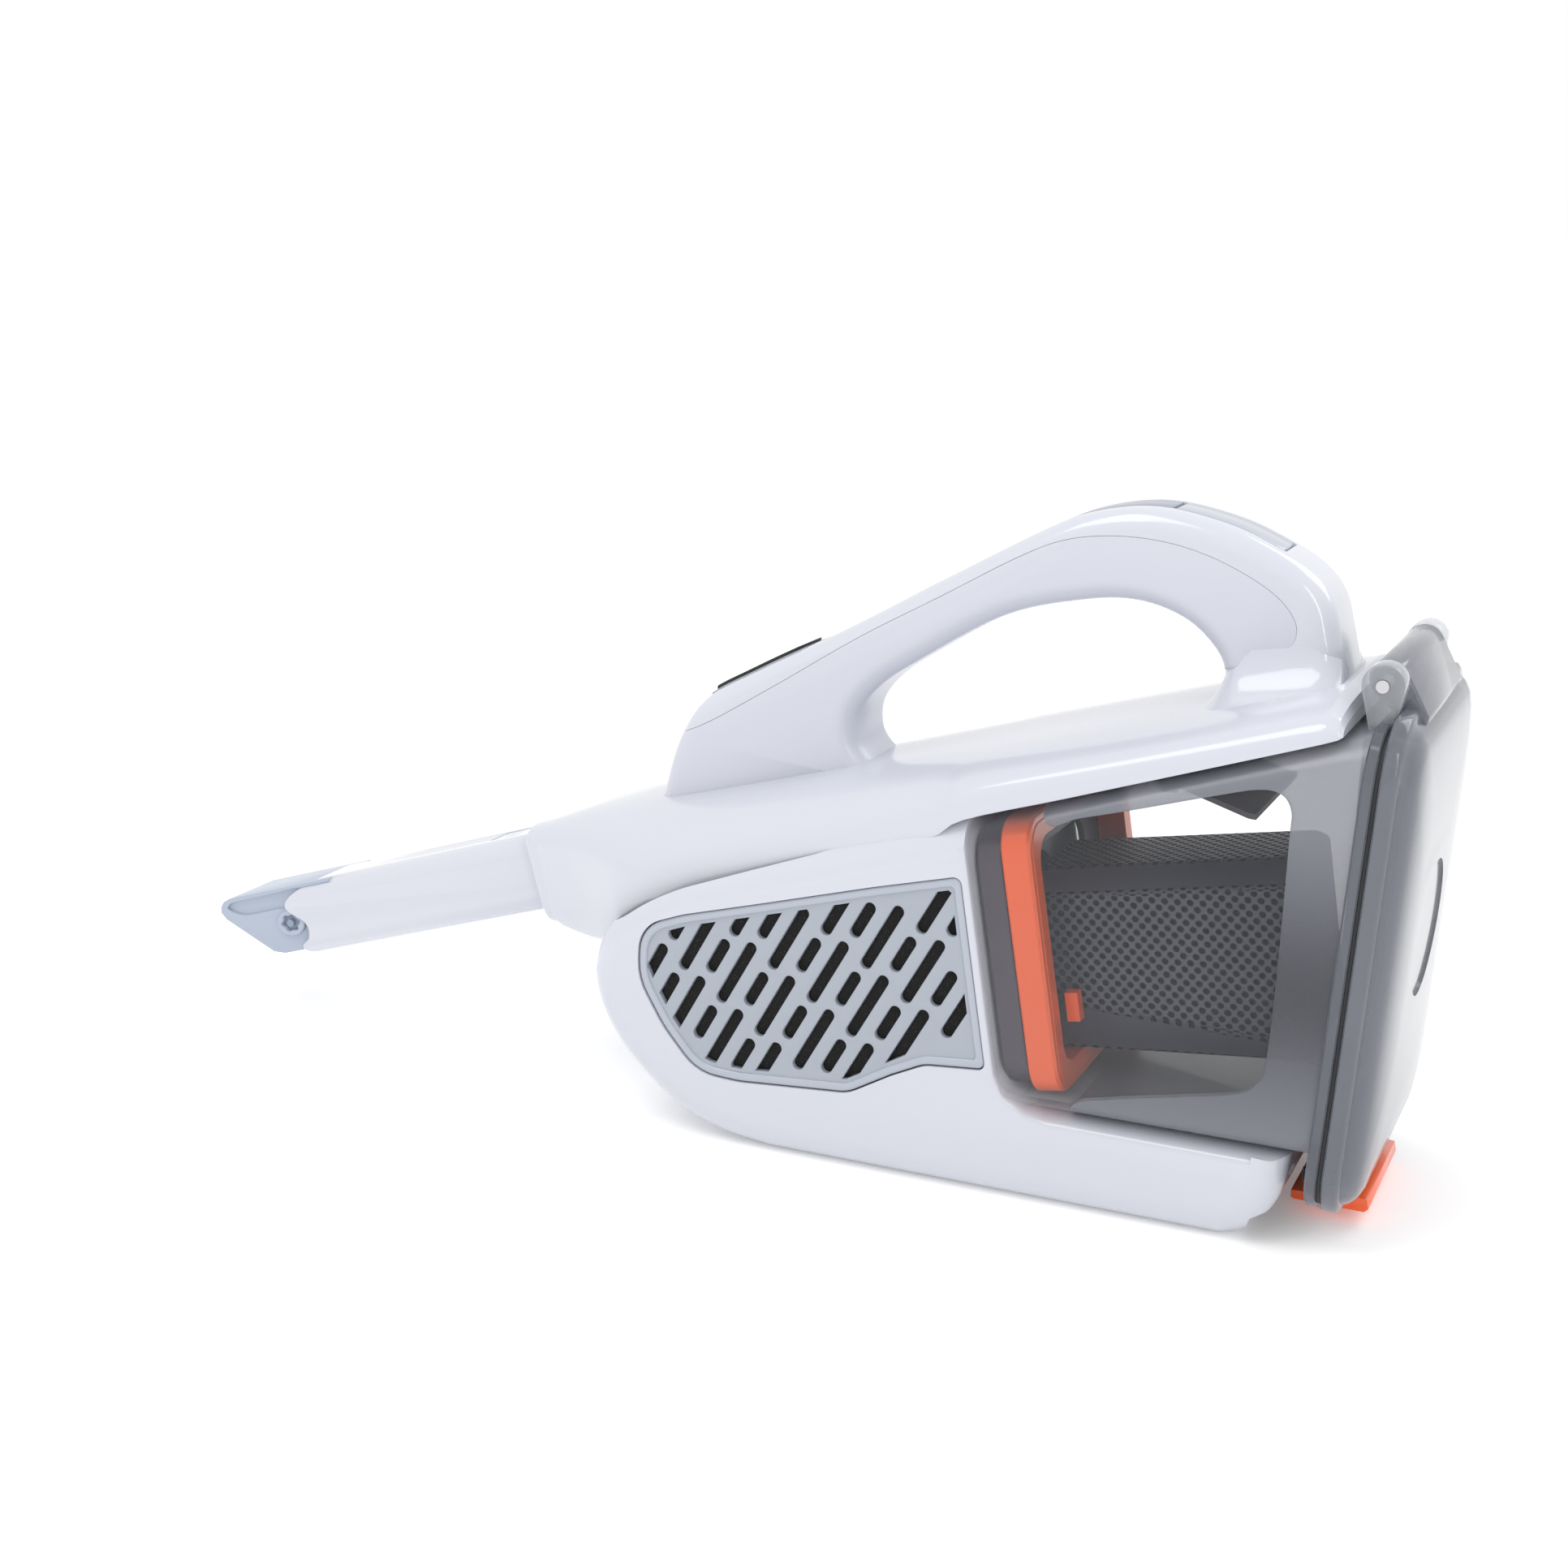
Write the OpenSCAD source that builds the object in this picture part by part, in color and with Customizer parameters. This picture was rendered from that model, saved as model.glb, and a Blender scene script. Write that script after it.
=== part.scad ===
// Cordless handheld vacuum: a pull-out crevice nozzle, a loop handle over a beam
// that carries the air duct, a battery foot, and a dust bin with a hinged door.
// +X points at the bin door and -X at the nozzle. +Z is up. The origin is the
// centre of the flat underside of the foot. All sizes are in millimetres.

/* [Body] */
// Half width of the lower housing
body_half = 58; // [57:0.5:59]
// Radius of the rounded side edges of the lower housing
body_edge = 10; // [8:1:12]
// Wall thickness of the moulded housings
wall = 2.4; // [2:0.1:2.8]
// Slope of the beam above the dust bin, in degrees
beam_tilt = 18; // [17.5:0.25:18.5]

/* [Handle] */
// Half width of the handle
grip_half = 18; // [16:0.5:20]

/* [Nozzle] */
// Slope of the nozzle, in degrees
tool_tilt = 17; // [16.5:0.25:17.5]
// Thickness of the crevice sleeve
sleeve_t = 30; // [28:0.5:30]
// Width of the crevice sleeve
sleeve_w = 35; // [33:0.5:35]
// How far the sleeve slides into the neck
tool_travel = 85; // [60:1:85]

/* [Dust bin] */
// Half width of the dust bin
bin_half = 59.5; // [58:0.5:60]
// Half width of the door
door_half = 62; // [61:0.5:63]
// Lean of the door, in degrees
door_lean = 4; // [3:0.5:4]
// Lean of the joint between the motor housing and the bin, in degrees
seam_lean = 9; // [8:0.5:9]

/* [Exhaust grille] */
// Width of each slot
slot_w = 3.5; // [2.5:0.1:3.8]
// Length of the long slots between their end centres
slot_long = 23; // [18:0.5:24]
// Length of the short slots between their end centres
slot_short = 10.5; // [8:0.5:11]

/* [Batteries and motor] */
// Radius of a battery cell
cell_r = 9.2; // [9:0.1:9.4]
// Length of a battery cell
cell_len = 65; // [64:0.5:65]
// Radius of the motor can
motor_r = 22; // [20:0.5:23]
// Radius of the impeller
impeller_r = 33; // [30:0.5:34]

/* [Hidden] */
$fn = 48;
gap = 0.3;
far = 300;

// Mouth of the neck, on the axis of the nozzle
neck = [-205, 75.5];
// Centre of the joint between the motor housing and the bin
core = [-6, 81.5];
// Foot of the leaning rear plane of the bin
rear = [104, 34];
// Drop of the motor axis below the core centre
motor_drop = 6;
// Underside of the bin, just above the top of the foot
foot_top = 32;
bin_low = 33.2;
// Axis of the door hinge and of the latch
hinge_at = [114.4, 184.2];
latch_at = [105, 8];
// Axis of the nozzle tip, along the nozzle from the neck
tip_at = -121;
// Length of the sleeve inside the neck, and the end of the guide around it
sleeve_in = 45;
guide_end = sleeve_in + tool_travel + 6;
// Air opening between the beam and the bin
inlet_x = [46, 78];
inlet_half = 34;

function seam_z(x) = 101 + tan(beam_tilt) * (x + 105);
function crest_z(x) = 143 + 0.27 * (x + 37);
function joint_x(z) = core[0] - (z - core[1]) * tan(seam_lean);
function unit(v) = v / norm(v);

// Closed smooth curve through the points.
function spline_point(a, b, c, d, t) =
    (2 * b + (c - a) * t + (2 * a - 5 * b + 4 * c - d) * t * t
    + (3 * b - a - 3 * c + d) * t * t * t) / 2;
function curve(p, steps = 3) = let (n = len(p)) [
    for (i = [0:n - 1]) for (k = [0:steps - 1])
        spline_point(p[(i + n - 1) % n], p[i], p[(i + 1) % n], p[(i + 2) % n], k / steps)
];

// Counter-clockwise outline moved inwards by d.
function inset(p, d) = let (n = len(p)) [
    for (i = [0:n - 1])
        let (
            a = unit(p[i] - p[(i + n - 1) % n]),
            b = unit(p[(i + 1) % n] - p[i]),
            m = unit([-a[1] - b[1], a[0] + b[0]])
        )
        p[i] + m * d / max(0.5, m * [-b[1], b[0]])
];

// Outlines in the X-Z plane, counter-clockwise.
housing_outline = concat(
    [[76, 0], [85, 4], [91, 11], [95, 19], [98, foot_top + 14], [30, foot_top + 14]],
    [[30, 165], [-60, 165], [-128, 120], [-142, 96], [-152, 79], [-156, 62], [-154, 46]],
    [[-147, 31], [-135, 18], [-121, 8], [-104, 2], [-86, 0]]
);
housing_clip = [
    [110, -5], [110, foot_top], [joint_x(foot_top), foot_top],
    [joint_x(128), seam_z(joint_x(128))], [-105, 101], [-124, 94], [-141, 85], [-152, 73],
    [-158, 60], [-170, 60], [-170, -5]
];
grille_outline = curve([
    [-14.5, 110.5], [-45, 103.5], [-85, 92.5], [-115, 84], [-130, 74], [-134.5, 62],
    [-127, 45], [-114, 31], [-96, 25.5], [-72, 26.5], [-52, 29], [-40, 35], [-27, 43],
    [-4.4, 45.5], [-4.9, 48], [-13, 103]
], 2);
handle_outer = [
    [98, crest_z(98)], [95, 192], [91, 204], [84, 212], [72, 219], [56, 225.5], [34, 230],
    [14, 227.5], [-4, 220.5], [-39, 201.5], [-75, 181.5], [-110, 163.5], [-131, 151],
    [-142, 134], [-149, crest_z(-149)]
];
finger_arch = [
    [-64, crest_z(-64)], [-71, 140], [-71, 152], [-64, 161], [-50, 171], [-18, 190],
    [9, 197.5], [28, 199], [44, 194], [55, 185], [59, 177], [58, crest_z(58)]
];
handle_outline = concat(handle_outer, finger_arch);
// The inner grip below the groove of the handle
grip_outline = [
    [60, 180], [76, 184.5], [82, 191], [81, 199], [72, 207], [56, 215], [39, 220], [21, 221],
    [4, 218], [-13, 210], [-38, 196], [-68, 180], [-105, 156], [-131, 141.5], [-155, 134],
    [-155, 100], [0, 100], [20, 165]
];
root_outline = [
    [-66, crest_z(-66)], [-68, 142], [-84, 149], [-110, 150], [-128, 140.5], [-139, 131],
    [-146, crest_z(-146)]
];

module side_slab(y0, y1) {
    translate([0, y1, 0]) rotate([90, 0, 0]) linear_extrude(y1 - y0) children();
}

module side(half) {
    side_slab(-half, half) children();
}

// Outline across the width with rounded long edges.
module pillow(outline, half, edge) {
    for (a = [0:30:90])
        side(half - edge * (1 - sin(a))) polygon(inset(outline, edge * (1 - cos(a))));
}

// One side of the same shape: s is 1 for left and -1 for right.
module pillow_half(s, outline, half, edge) {
    for (a = [0:30:90])
        span(s, 0, half - edge * (1 - sin(a))) polygon(inset(outline, edge * (1 - cos(a))));
}

module rounded(w, h, r) {
    square([w - 2 * r, h], center = true);
    square([w, h - 2 * r], center = true);
    for (x = [-1, 1]) for (y = [-1, 1])
        translate([x * (w / 2 - r), y * (h / 2 - r)]) circle(r);
}

module y_rod(at, r, y0, y1) {
    translate([at[0], y1, at[1]]) rotate([90, 0, 0]) cylinder(h = y1 - y0, r = r);
}

// Layers of the beam: half width, share of the full height, where the layer starts
// and where its hollow ends along X.
beam_layers = [[26, 1, -230, 98], [38, 0.9, -172, 98], [50, 0.72, -149, 98], [57, 0.42, -131, -17]];
seam_line = [
    [joint_x(130), seam_z(joint_x(130))], [-105, 101], [-124, 94], [-141, 85], [-152, 73],
    [-157, 60]
];
neck_top = [[-161, 109.5], [-175, 104.5], [-187, 99], [-197, 96.5], [-215, 91]];
neck_low = [[-160, 55], [-182, 55.5], [-199, 57], [-215, 52]];

function top_z(x, share) = seam_z(x) + share * (crest_z(x) - seam_z(x));
function beam_outline(share) = concat(
    [[106, seam_z(106)], [106, top_z(106, share * 0.6)], [98, top_z(98, share)]],
    [[-148, top_z(-148, share)]],
    neck_top, [for (i = [3:-1:0]) neck_low[i]], [for (i = [5:-1:0]) seam_line[i]]
);
function beam_room(share, x_end) = concat(
    x_end > 0
        ? [[x_end, seam_z(x_end) + wall], [x_end, top_z(x_end, share) - wall]]
        : [[joint_x(120) - wall, top_z(joint_x(120) - wall, share) - wall]],
    [[-148, top_z(-148, share) - wall], [-176, 102], [-188, 96.5], [-188, 60], [-160, 58]],
    [[-146, 60], [-60, 80], [joint_x(110) - wall, 105]],
    x_end > 0 ? [[joint_x(130) - wall, seam_z(joint_x(130) - wall) + wall]] : []
);

// Layer between two distances from the centre plane: s is 1 for left and -1 for right.
module span(s, y0, y1) {
    side_slab(s > 0 ? y0 : -y1, s > 0 ? y1 : -y0) children();
}

module tool_frame() {
    translate([neck[0], 0, neck[1]]) rotate([0, -tool_tilt, 0]) children();
}

// Extrudes an outline (thickness, width) along the nozzle axis.
module along(u0, u1) {
    translate([u0, 0, 0]) rotate([0, 90, 0]) linear_extrude(u1 - u0) children();
}

module sleeve_section(grow, r) {
    rounded(sleeve_t + 2 * grow, sleeve_w + 2 * grow, r);
}

module core_frame() {
    translate([core[0], 0, core[1]]) rotate([0, -seam_lean, 0]) children();
}

module core_rod(u0, u1, r) {
    core_frame() translate([u0, 0, -motor_drop]) rotate([0, 90, 0]) cylinder(h = u1 - u0, r = r);
}

module core_plate(u0, u1) {
    core_frame() translate([u0, 0, 0]) rotate([90, 0, 90]) linear_extrude(u1 - u0) children();
}

module rear_frame() {
    translate([rear[0], 0, rear[1]]) rotate([0, door_lean, 0]) children();
}

module rear_plate(u0, u1) {
    rear_frame() translate([u0, 0, 0]) rotate([90, 0, 90]) linear_extrude(u1 - u0) children();
}

module rear_outline(half, low, high, r) {
    translate([0, (low + high) / 2]) rounded(2 * half, high - low, r);
}

// ---- housings ----

module lower_cavity() {
    intersection() {
        pillow(inset(housing_outline, wall), body_half - wall, body_edge - wall);
        side(body_half) polygon([
            [92, -5], [92, foot_top - wall], [joint_x(foot_top) - wall, foot_top - wall],
            [joint_x(128) - wall, 150], [-150, 150], [-170, 60], [-170, -5]
        ]);
    }
}

module grille_hole() {
    for (s = [-1, 1])
        side_slab(s > 0 ? body_half - 8 : -body_half - 4, s > 0 ? body_half + 4 : 8 - body_half)
            polygon(inset(grille_outline, -gap));
}

// Screws that join the two halves, with their bosses
screw_x = [-95, 78];
screw_z = 16;
screw_r = 1.5;
screw_in = 12;

module screw_bosses(s) {
    for (x = screw_x)
        y_rod([x, screw_z], 4, s > 0 ? 0 : wall - body_half, s > 0 ? body_half - wall : 0);
}

module screw_holes() {
    for (x = screw_x) {
        y_rod([x, screw_z], screw_r + 0.05, -screw_in - 1, body_half);
        y_rod([x, screw_z], 3.2, body_half - 1.6, body_half + 1);
    }
}

module lower_housing(s) {
    color("white")
    difference() {
        union() {
            difference() {
                intersection() {
                    pillow_half(s, housing_outline, body_half, body_edge);
                    span(s, 0, body_half + 5) polygon(housing_clip);
                }
                lower_cavity();
            }
            screw_bosses(s);
        }
        grille_hole();
        core_rod(-10, 5, 30);
        foot_pads(0.1);
        socket_hole();
        screw_holes();
    }
}

module passage() {
    tool_frame() along(-12, guide_end) sleeve_section(0.4, 8.4);
}

module beam_floor_hole() {
    side(inlet_half) polygon([
        [inlet_x[0], seam_z(inlet_x[0]) - 3], [inlet_x[1], seam_z(inlet_x[1]) - 3],
        [inlet_x[1], seam_z(inlet_x[1]) + 4], [inlet_x[0], seam_z(inlet_x[0]) + 4]
    ]);
}

// The sleeve guide with its walls, seen from the side
guide_outline = [
    for (p = [[-20, -18.5], [guide_end - 1, -18.5], [guide_end - 1, 30], [-20, 30]])
        neck + [
            p[0] * cos(tool_tilt) - p[1] * sin(tool_tilt),
            p[0] * sin(tool_tilt) + p[1] * cos(tool_tilt)
        ]
];
guide_half = 20.5;

module upper_housing(s) {
    color("white")
    difference() {
        for (p = beam_layers)
            span(s, 0, p[0])
                intersection() {
                    polygon(beam_outline(p[1]));
                    translate([p[2], 0]) square([400, 300]);
                }
        span(s, 0, guide_half)
            difference() {
                polygon(beam_room(1, 98));
                polygon(guide_outline);
            }
        for (p = beam_layers)
            span(s, guide_half, p[0] - wall)
                intersection() {
                    polygon(beam_room(p[1], p[3]));
                    translate([p[2] + wall, 0]) square([400, 300]);
                }
        passage();
        tool_frame() along(6, 10) sleeve_section(2, 10);
        tool_frame() translate([-40, -40, -40]) cube([40, 80, 80]);
        beam_floor_hole();
    }
}

module neck_seal() {
    color("dimgray")
    tool_frame() along(6 + 0.05, 10 - 0.05)
        difference() {
            sleeve_section(1.95, 10);
            sleeve_section(0.15, 8.1);
        }
}

// ---- handle ----

// Strip that follows the crest of the handle between two depths.
module crest(x0, x1, top, bottom, half) {
    side(half)
        intersection() {
            difference() {
                polygon(inset(handle_outline, top));
                polygon(inset(handle_outline, bottom));
            }
            translate([x0, x1 > 0 ? 205 : 150]) square([x1 - x0, 60]);
        }
}

// The handle's outer cheeks are stepped in at the rim.
cheek_step = 4;
cheek_inset = 3;

module handle_room() {
    side(grip_half - cheek_step - wall) polygon(inset(handle_outline, wall));
    side(grip_half - wall) polygon(inset(handle_outline, cheek_inset + wall));
}

module handle_band(s) {
    color("white")
    difference() {
        for (p = [[grip_half - cheek_step, 0], [grip_half, cheek_inset]])
            span(s, 0, p[0])
                difference() {
                    polygon(inset(handle_outline, p[1]));
                    polygon(grip_outline);
                }
        handle_room();
        crest(-38, 75, -1, 2.2, 8);
        crest(37.9, 75, -1, 5.4, 8);
        crest(-129, -91, -1, 2, 11);
    }
}

module handle_grip(s) {
    color("whitesmoke")
    difference() {
        union() {
            for (p = [[grip_half - cheek_step, 0], [grip_half, cheek_inset]])
                span(s, 0, p[0])
                    intersection() {
                        polygon(inset(handle_outline, p[1]));
                        polygon(grip_outline);
                    }
            span(s, 0, grip_half + 8) polygon(root_outline);
        }
        handle_room();
    }
}

module handle_inlay() {
    color("silver") crest(-37.9, 37.5, 0, 2.15, 7.9);
}

module power_button() {
    color("silver") crest(38.6, 74.6, 0, 3, 7.6);
}

module switch_place() {
    translate([54, 0, 217.4]) rotate([0, 18, 0]) children();
}

module power_switch() {
    color("black") switch_place() {
        translate([-7, -4, -4]) cube([14, 8, 6.4]);
        translate([-2, -1.5, 2]) cube([3, 3, 1.6]);
        translate([-9, wall - grip_half, -5.2]) cube([24, 2 * (grip_half - wall), 1.2]);
    }
}

module button_spring() {
    color("gray") switch_place()
        translate([11, 0, -4])
            difference() {
                cylinder(h = 6.2, r = 2.6);
                translate([0, 0, -1]) cylinder(h = 9, r = 1.9);
            }
}

module indicator_bezel() {
    color("gray")
    difference() {
        crest(-128.8, -91.2, 0, 1.95, 10.8);
        crest(-126.2, -95.8, -1, 3, 8.6);
    }
}

module indicator_window() {
    color("black") crest(-126, -96, 0.1, 1.9, 8.4);
}

module indicator_board() {
    color("darkgreen") crest(-122, -99, wall, wall + 1.6, 7);
}

// ---- exhaust ----

slot_step_a = [34.8, 5.4];
slot_step_b = [20, 15.4];
slot_from = [-102.8, 55.2];
slot_side = [10.8, 0.6];

module slot(at, length) {
    translate(at) rotate(60) {
        translate([0, -slot_w / 2]) square([length, slot_w]);
        circle(d = slot_w, $fn = 20);
        translate([length, 0]) circle(d = slot_w, $fn = 20);
    }
}

module slots() {
    intersection() {
        polygon(inset(grille_outline, 4.2));
        union() for (i = [-3:4]) for (j = [-3:3]) {
            p = slot_from + i * slot_step_a + j * slot_step_b;
            if (p[0] > -165 && p[0] < 0) {
                slot(p, slot_long);
                slot(p + slot_side, slot_short);
            }
        }
    }
}

module vent_grille(s) {
    color("lightslategray")
    difference() {
        union() {
            span(s, body_half - 3.8, body_half - 1) polygon(grille_outline);
            span(s, body_half - 3.8, body_half - wall - 0.05) polygon(inset(grille_outline, -1.5));
        }
        span(s, body_half - 5, body_half) slots();
    }
}

module exhaust_foam(s) {
    color("black") span(s, body_half - 7.6, body_half - 3.8) polygon(grille_outline);
}

// ---- motor and air path ----

module fan_shroud() {
    color("gray")
    difference() {
        core_rod(-30, -2.4, impeller_r + 4);
        core_rod(-27, -6, impeller_r + 2.5);
        core_rod(-7, 0, 17);
        core_rod(-31, -20, 6);
        for (a = [0:45:315])
            core_frame() translate([-24, 0, -motor_drop]) rotate([a, 0, 0])
                translate([-3, -5, impeller_r]) cube([10, 10, 8]);
    }
}

module impeller() {
    color("darkgray")
    difference() {
        union() {
            core_rod(-24, -22, impeller_r);
            core_rod(-24, -9, 7);
            for (a = [0:40:320])
                core_frame() translate([-22.1, 0, -motor_drop]) rotate([a, 0, 0])
                    translate([0, 5, -0.8]) cube([9, impeller_r - 6, 1.6]);
        }
        core_rod(-25, -8, 2.5);
    }
}

module motor_shaft() {
    color("silver") core_rod(-92, -8, 2.5);
}

module motor_can() {
    color("slategray")
    difference() {
        core_rod(-86, -31, motor_r);
        core_rod(-84, -33, motor_r - 1.6);
        core_rod(-90, -30, 2.56);
    }
}

module motor_windings() {
    color("peru")
    difference() {
        core_rod(-76, -42, motor_r - 2);
        core_rod(-77, -41, 9);
    }
}

module motor_mount() {
    color("black") {
        difference() {
            core_rod(-80, -70, motor_r + 4);
            core_rod(-81, -69, motor_r + 0.02);
        }
        for (y = [-motor_r - 5.2, motor_r + 2.2])
            translate([-84, y, wall]) cube([9, 3, 62]);
    }
}

module duct_section(u, low, high, half) {
    translate([u, -half, low]) cube([0.5, 2 * half, high - low]);
}

module inlet_duct() {
    color("gray")
    tool_frame()
        difference() {
            hull() {
                duct_section(guide_end + 0.5, -16, 13, 17.5);
                duct_section(200, 0.6, 8.8, 30);
            }
            hull() {
                duct_section(guide_end + 0.4, -14.6, 11.6, 16.1);
                duct_section(200.1, 2, 7.4, 28.6);
            }
        }
}

module bin_seal() {
    color("dimgray")
    difference() {
        side(inlet_half + 4) polygon([
            [inlet_x[0] - 3, seam_z(inlet_x[0] - 3) - 1], [inlet_x[1] + 3, seam_z(inlet_x[1] + 3) - 1],
            [inlet_x[1] + 3, seam_z(inlet_x[1] + 3)], [inlet_x[0] - 3, seam_z(inlet_x[0] - 3)]
        ]);
        beam_floor_hole();
    }
}

module control_board() {
    color("darkgreen")
    translate([-108, -26, 42]) cube([1.6, 52, 32]);
    color("darkgreen")
    for (y = [-18, -2, 12])
        translate([-112, y, 48]) cube([4, 8, 10]);
}

module motor_leads() {
    color("red")
    for (y = [-6, 6]) {
        translate([-106.3, y, 68]) rotate([0, 90, 0]) cylinder(h = 15.1, r = 1, $fn = 16);
        translate([-106, y, 22]) rotate([0, 90, 0]) cylinder(h = 39.3, r = 1, $fn = 16);
        translate([-105.4, y, 22]) cylinder(h = 24, r = 1, $fn = 16);
    }
}

// ---- battery and base ----

cell_z = 14.4;
cell_y = 11;

module battery_cells() {
    color("steelblue")
    for (x = [-cell_len - 1, 1]) for (y = [-cell_y, cell_y])
        translate([x, y, cell_z]) rotate([0, 90, 0]) cylinder(h = cell_len, r = cell_r);
}

module cell_tray() {
    color("dimgray")
    difference() {
        translate([-69, -24, wall]) cube([138, 48, 7.6]);
        for (y = [-cell_y, cell_y])
            translate([-67.5, y, cell_z]) rotate([0, 90, 0]) cylinder(h = 135, r = cell_r + 0.3);
    }
}

module cell_strips() {
    color("silver")
    for (x = [-66.6, -0.3, 66.1])
        translate([x, -15, cell_z - 3]) cube([0.5, 30, 12]);
}

pad_x = [-68, 68];
pad_y = 34;

module foot_pads(grow = 0) {
    color("black")
    for (x = pad_x) for (y = [-pad_y, pad_y])
        translate([x, y, -grow * 10]) cylinder(h = 1.4 + grow * 10, r = 6 + grow);
}

socket_x = -81;

module socket_hole() {
    translate([socket_x - 7.05, -8.05, -1]) cube([14.1, 16.1, 5]);
}

module charging_socket() {
    color("black")
    difference() {
        translate([socket_x - 7, -8, 0.6]) cube([14, 16, 5.4]);
        translate([socket_x - 5, -6, -1]) cube([10, 12, 4]);
    }
    color("gold")
    for (y = [-3, 3])
        translate([socket_x - 1.5, y - 1, 2]) cube([3, 2, 1]);
}

module housing_screws() {
    color("silver")
    for (x = screw_x) {
        y_rod([x, screw_z], screw_r, -screw_in, body_half - 1.5);
        y_rod([x, screw_z], 3, body_half - 1.6, body_half - 0.2);
    }
}

// ---- crevice nozzle ----

module sleeve_lug(s) {
    translate([0, s > 0 ? 13.2 : -11.4, 0]) rotate([90, 0, 0]) linear_extrude(1.8) {
        translate([tip_at, 0]) circle(r = 4.4);
        polygon([[tip_at, -4.4], [tip_at + 4, 2], [tip_at + 22, -sleeve_t / 2 + 1],
            [tip_at + 1, -sleeve_t / 2 + 1]]);
    }
}

module crevice_sleeve() {
    color("white")
    tool_frame()
    difference() {
        union() {
            difference() {
                along(-118, sleeve_in) sleeve_section(0, 8);
                along(-119, sleeve_in + 1) sleeve_section(-2, 6);
                translate([-120, -20, 9]) cube([14, 40, 10]);
                translate([-107, -11, 10]) cube([16, 22, 10]);
                y_rod([tip_at, 0], 9.4, -20, 20);
            }
            for (s = [-1, 1]) sleeve_lug(s);
        }
        y_rod([tip_at, 0], 1.62, -20, 20);
        translate([-21, -6.3, 11]) cube([12.6, 12.6, 8]);
    }
}

module tool_button() {
    color("white")
    tool_frame() translate([-20.7, -6, sleeve_t / 2 - 3]) cube([12, 12, 3]);
}

module tool_button_spring() {
    color("gray")
    tool_frame() {
        translate([-26, -3, 9.6]) cube([22, 6, 0.9]);
        for (u = [-26, -6]) translate([u, -3, 9.6]) cube([2, 6, sleeve_t / 2 - 2 - 9.6]);
    }
}

module nozzle_tip() {
    color("slategray")
    tool_frame()
    difference() {
        union() {
            side(14.8) polygon([
                [-168, 12.4], [-160, 9], [-146, -11], [-141, -12.6], [-124, -12.6],
                [-121, -9], [-121, 9], [-124.5, 14.8], [-165.5, 14.8]
            ]);
            y_rod([tip_at, 0], 9, -14.8, 14.8);
            y_rod([tip_at, 0], 8.4, -17.2, 17.2);
            translate([-126, -10.4, 13.3]) cube([33.6, 20.8, 1.5]);
        }
        side(13.4) polygon([
            [-172, 13], [-172, 5], [-147, -20], [-143.5, -11.2], [-128, -11.2],
            [-106, -11.2], [-106, 9.5], [-111, 13.3], [-168, 13.3]
        ]);
        side(13.4) polygon([[-128, -20], [-106, -20], [-106, -10], [-128, -10]]);
        y_rod([tip_at, 0], 1.67, -20, 20);
    }
}

module tip_pin() {
    color("silver") tool_frame() y_rod([tip_at, 0], 1.6, -16.8, 16.8);
}

// ---- dust bin ----

function bin_top(x) = seam_z(x) - 1.4;

module bin_tube(t, clip_grow) {
    intersection() {
        pillow(
            inset([[160, bin_low], [160, bin_top(160)], [-60, bin_top(-60)], [-60, bin_low]], t),
            bin_half - t, 10 - t
        );
        side(far) polygon([
            [joint_x(bin_low) + 0.8 - clip_grow, bin_low - 5],
            [rear[0] + 2 + clip_grow, bin_low - 5],
            [rear[0] + 12 + clip_grow, 176],
            [joint_x(140) + 0.8 - clip_grow, 140]
        ]);
    }
}

module dust_bin() {
    color([0.55, 0.56, 0.6, 0.5])
    difference() {
        union() {
            difference() {
                bin_tube(0, 0);
                rear_plate(3.9, 40) square(400, center = true);
            }
            rear_plate(0, 4) rear_outline(door_half - 1, -20, 139.5, 16);
            for (y = [-44, 34.4])
                hull() {
                    y_rod(hinge_at, 5.4, y, y + 9.6);
                    rear_frame() translate([0, y, 128]) cube([3.5, 9.6, 8]);
                }
            for (y = [-31, 27.4])
                hull() {
                    y_rod(latch_at, 3.2, y, y + 3.6);
                    rear_frame() translate([0, y, -20]) cube([4, 3.6, 3]);
                }
        }
        bin_tube(wall, 30);
        beam_floor_hole();
        y_rod(hinge_at, 2.04, -60, 60);
        y_rod(latch_at, 1.54, -40, 40);
    }
}

module bin_gasket() {
    color("black")
    rear_plate(4.05, 5.1)
        difference() {
            rear_outline(door_half - 2, -15.5, 136, 14);
            rear_outline(bin_half - wall - 1, 2.5, 132, 8);
        }
}

module door_skin(t) {
    hull() {
        rear_plate(5.2, 11 - t / 2) rear_outline(door_half - t, -21 + t, 143 - t, 18 - t);
        rear_plate(14, 16.5 - t) rear_outline(door_half - 6 - t, -16 + t, 133 - t, 14);
        rear_plate(16, 18.6 - t) rear_outline(door_half - 16 - t, 6 + t, 116 - t, 12);
    }
}

module bin_door() {
    color([0.6, 0.62, 0.66, 0.6])
    difference() {
        union() {
            door_skin(0);
            for (y = [-34, 24])
                hull() {
                    y_rod(hinge_at, 4.6, y, y + 10);
                    rear_frame() translate([6.5, y, 138.5]) cube([7, 10, 4]);
                }
        }
        intersection() {
            door_skin(2.2);
            rear_plate(0, 40) rear_outline(door_half - 4, -17, 138, 14);
        }
        y_rod(hinge_at, 2.04, -60, 60);
    }
}

module door_hinge_pin() {
    color("silver") y_rod(hinge_at, 2, -45, 45);
}

module door_latch() {
    color("orangered")
    difference() {
        union() {
            side(26) polygon([[93, 5], [119, 4.4], [120, 6], [119, 10.4], [114, 10.6], [112, 7.6], [93, 8]]);
            y_rod(latch_at, 3, -26, 26);
        }
        y_rod(latch_at, 1.55, -30, 30);
    }
}

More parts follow.
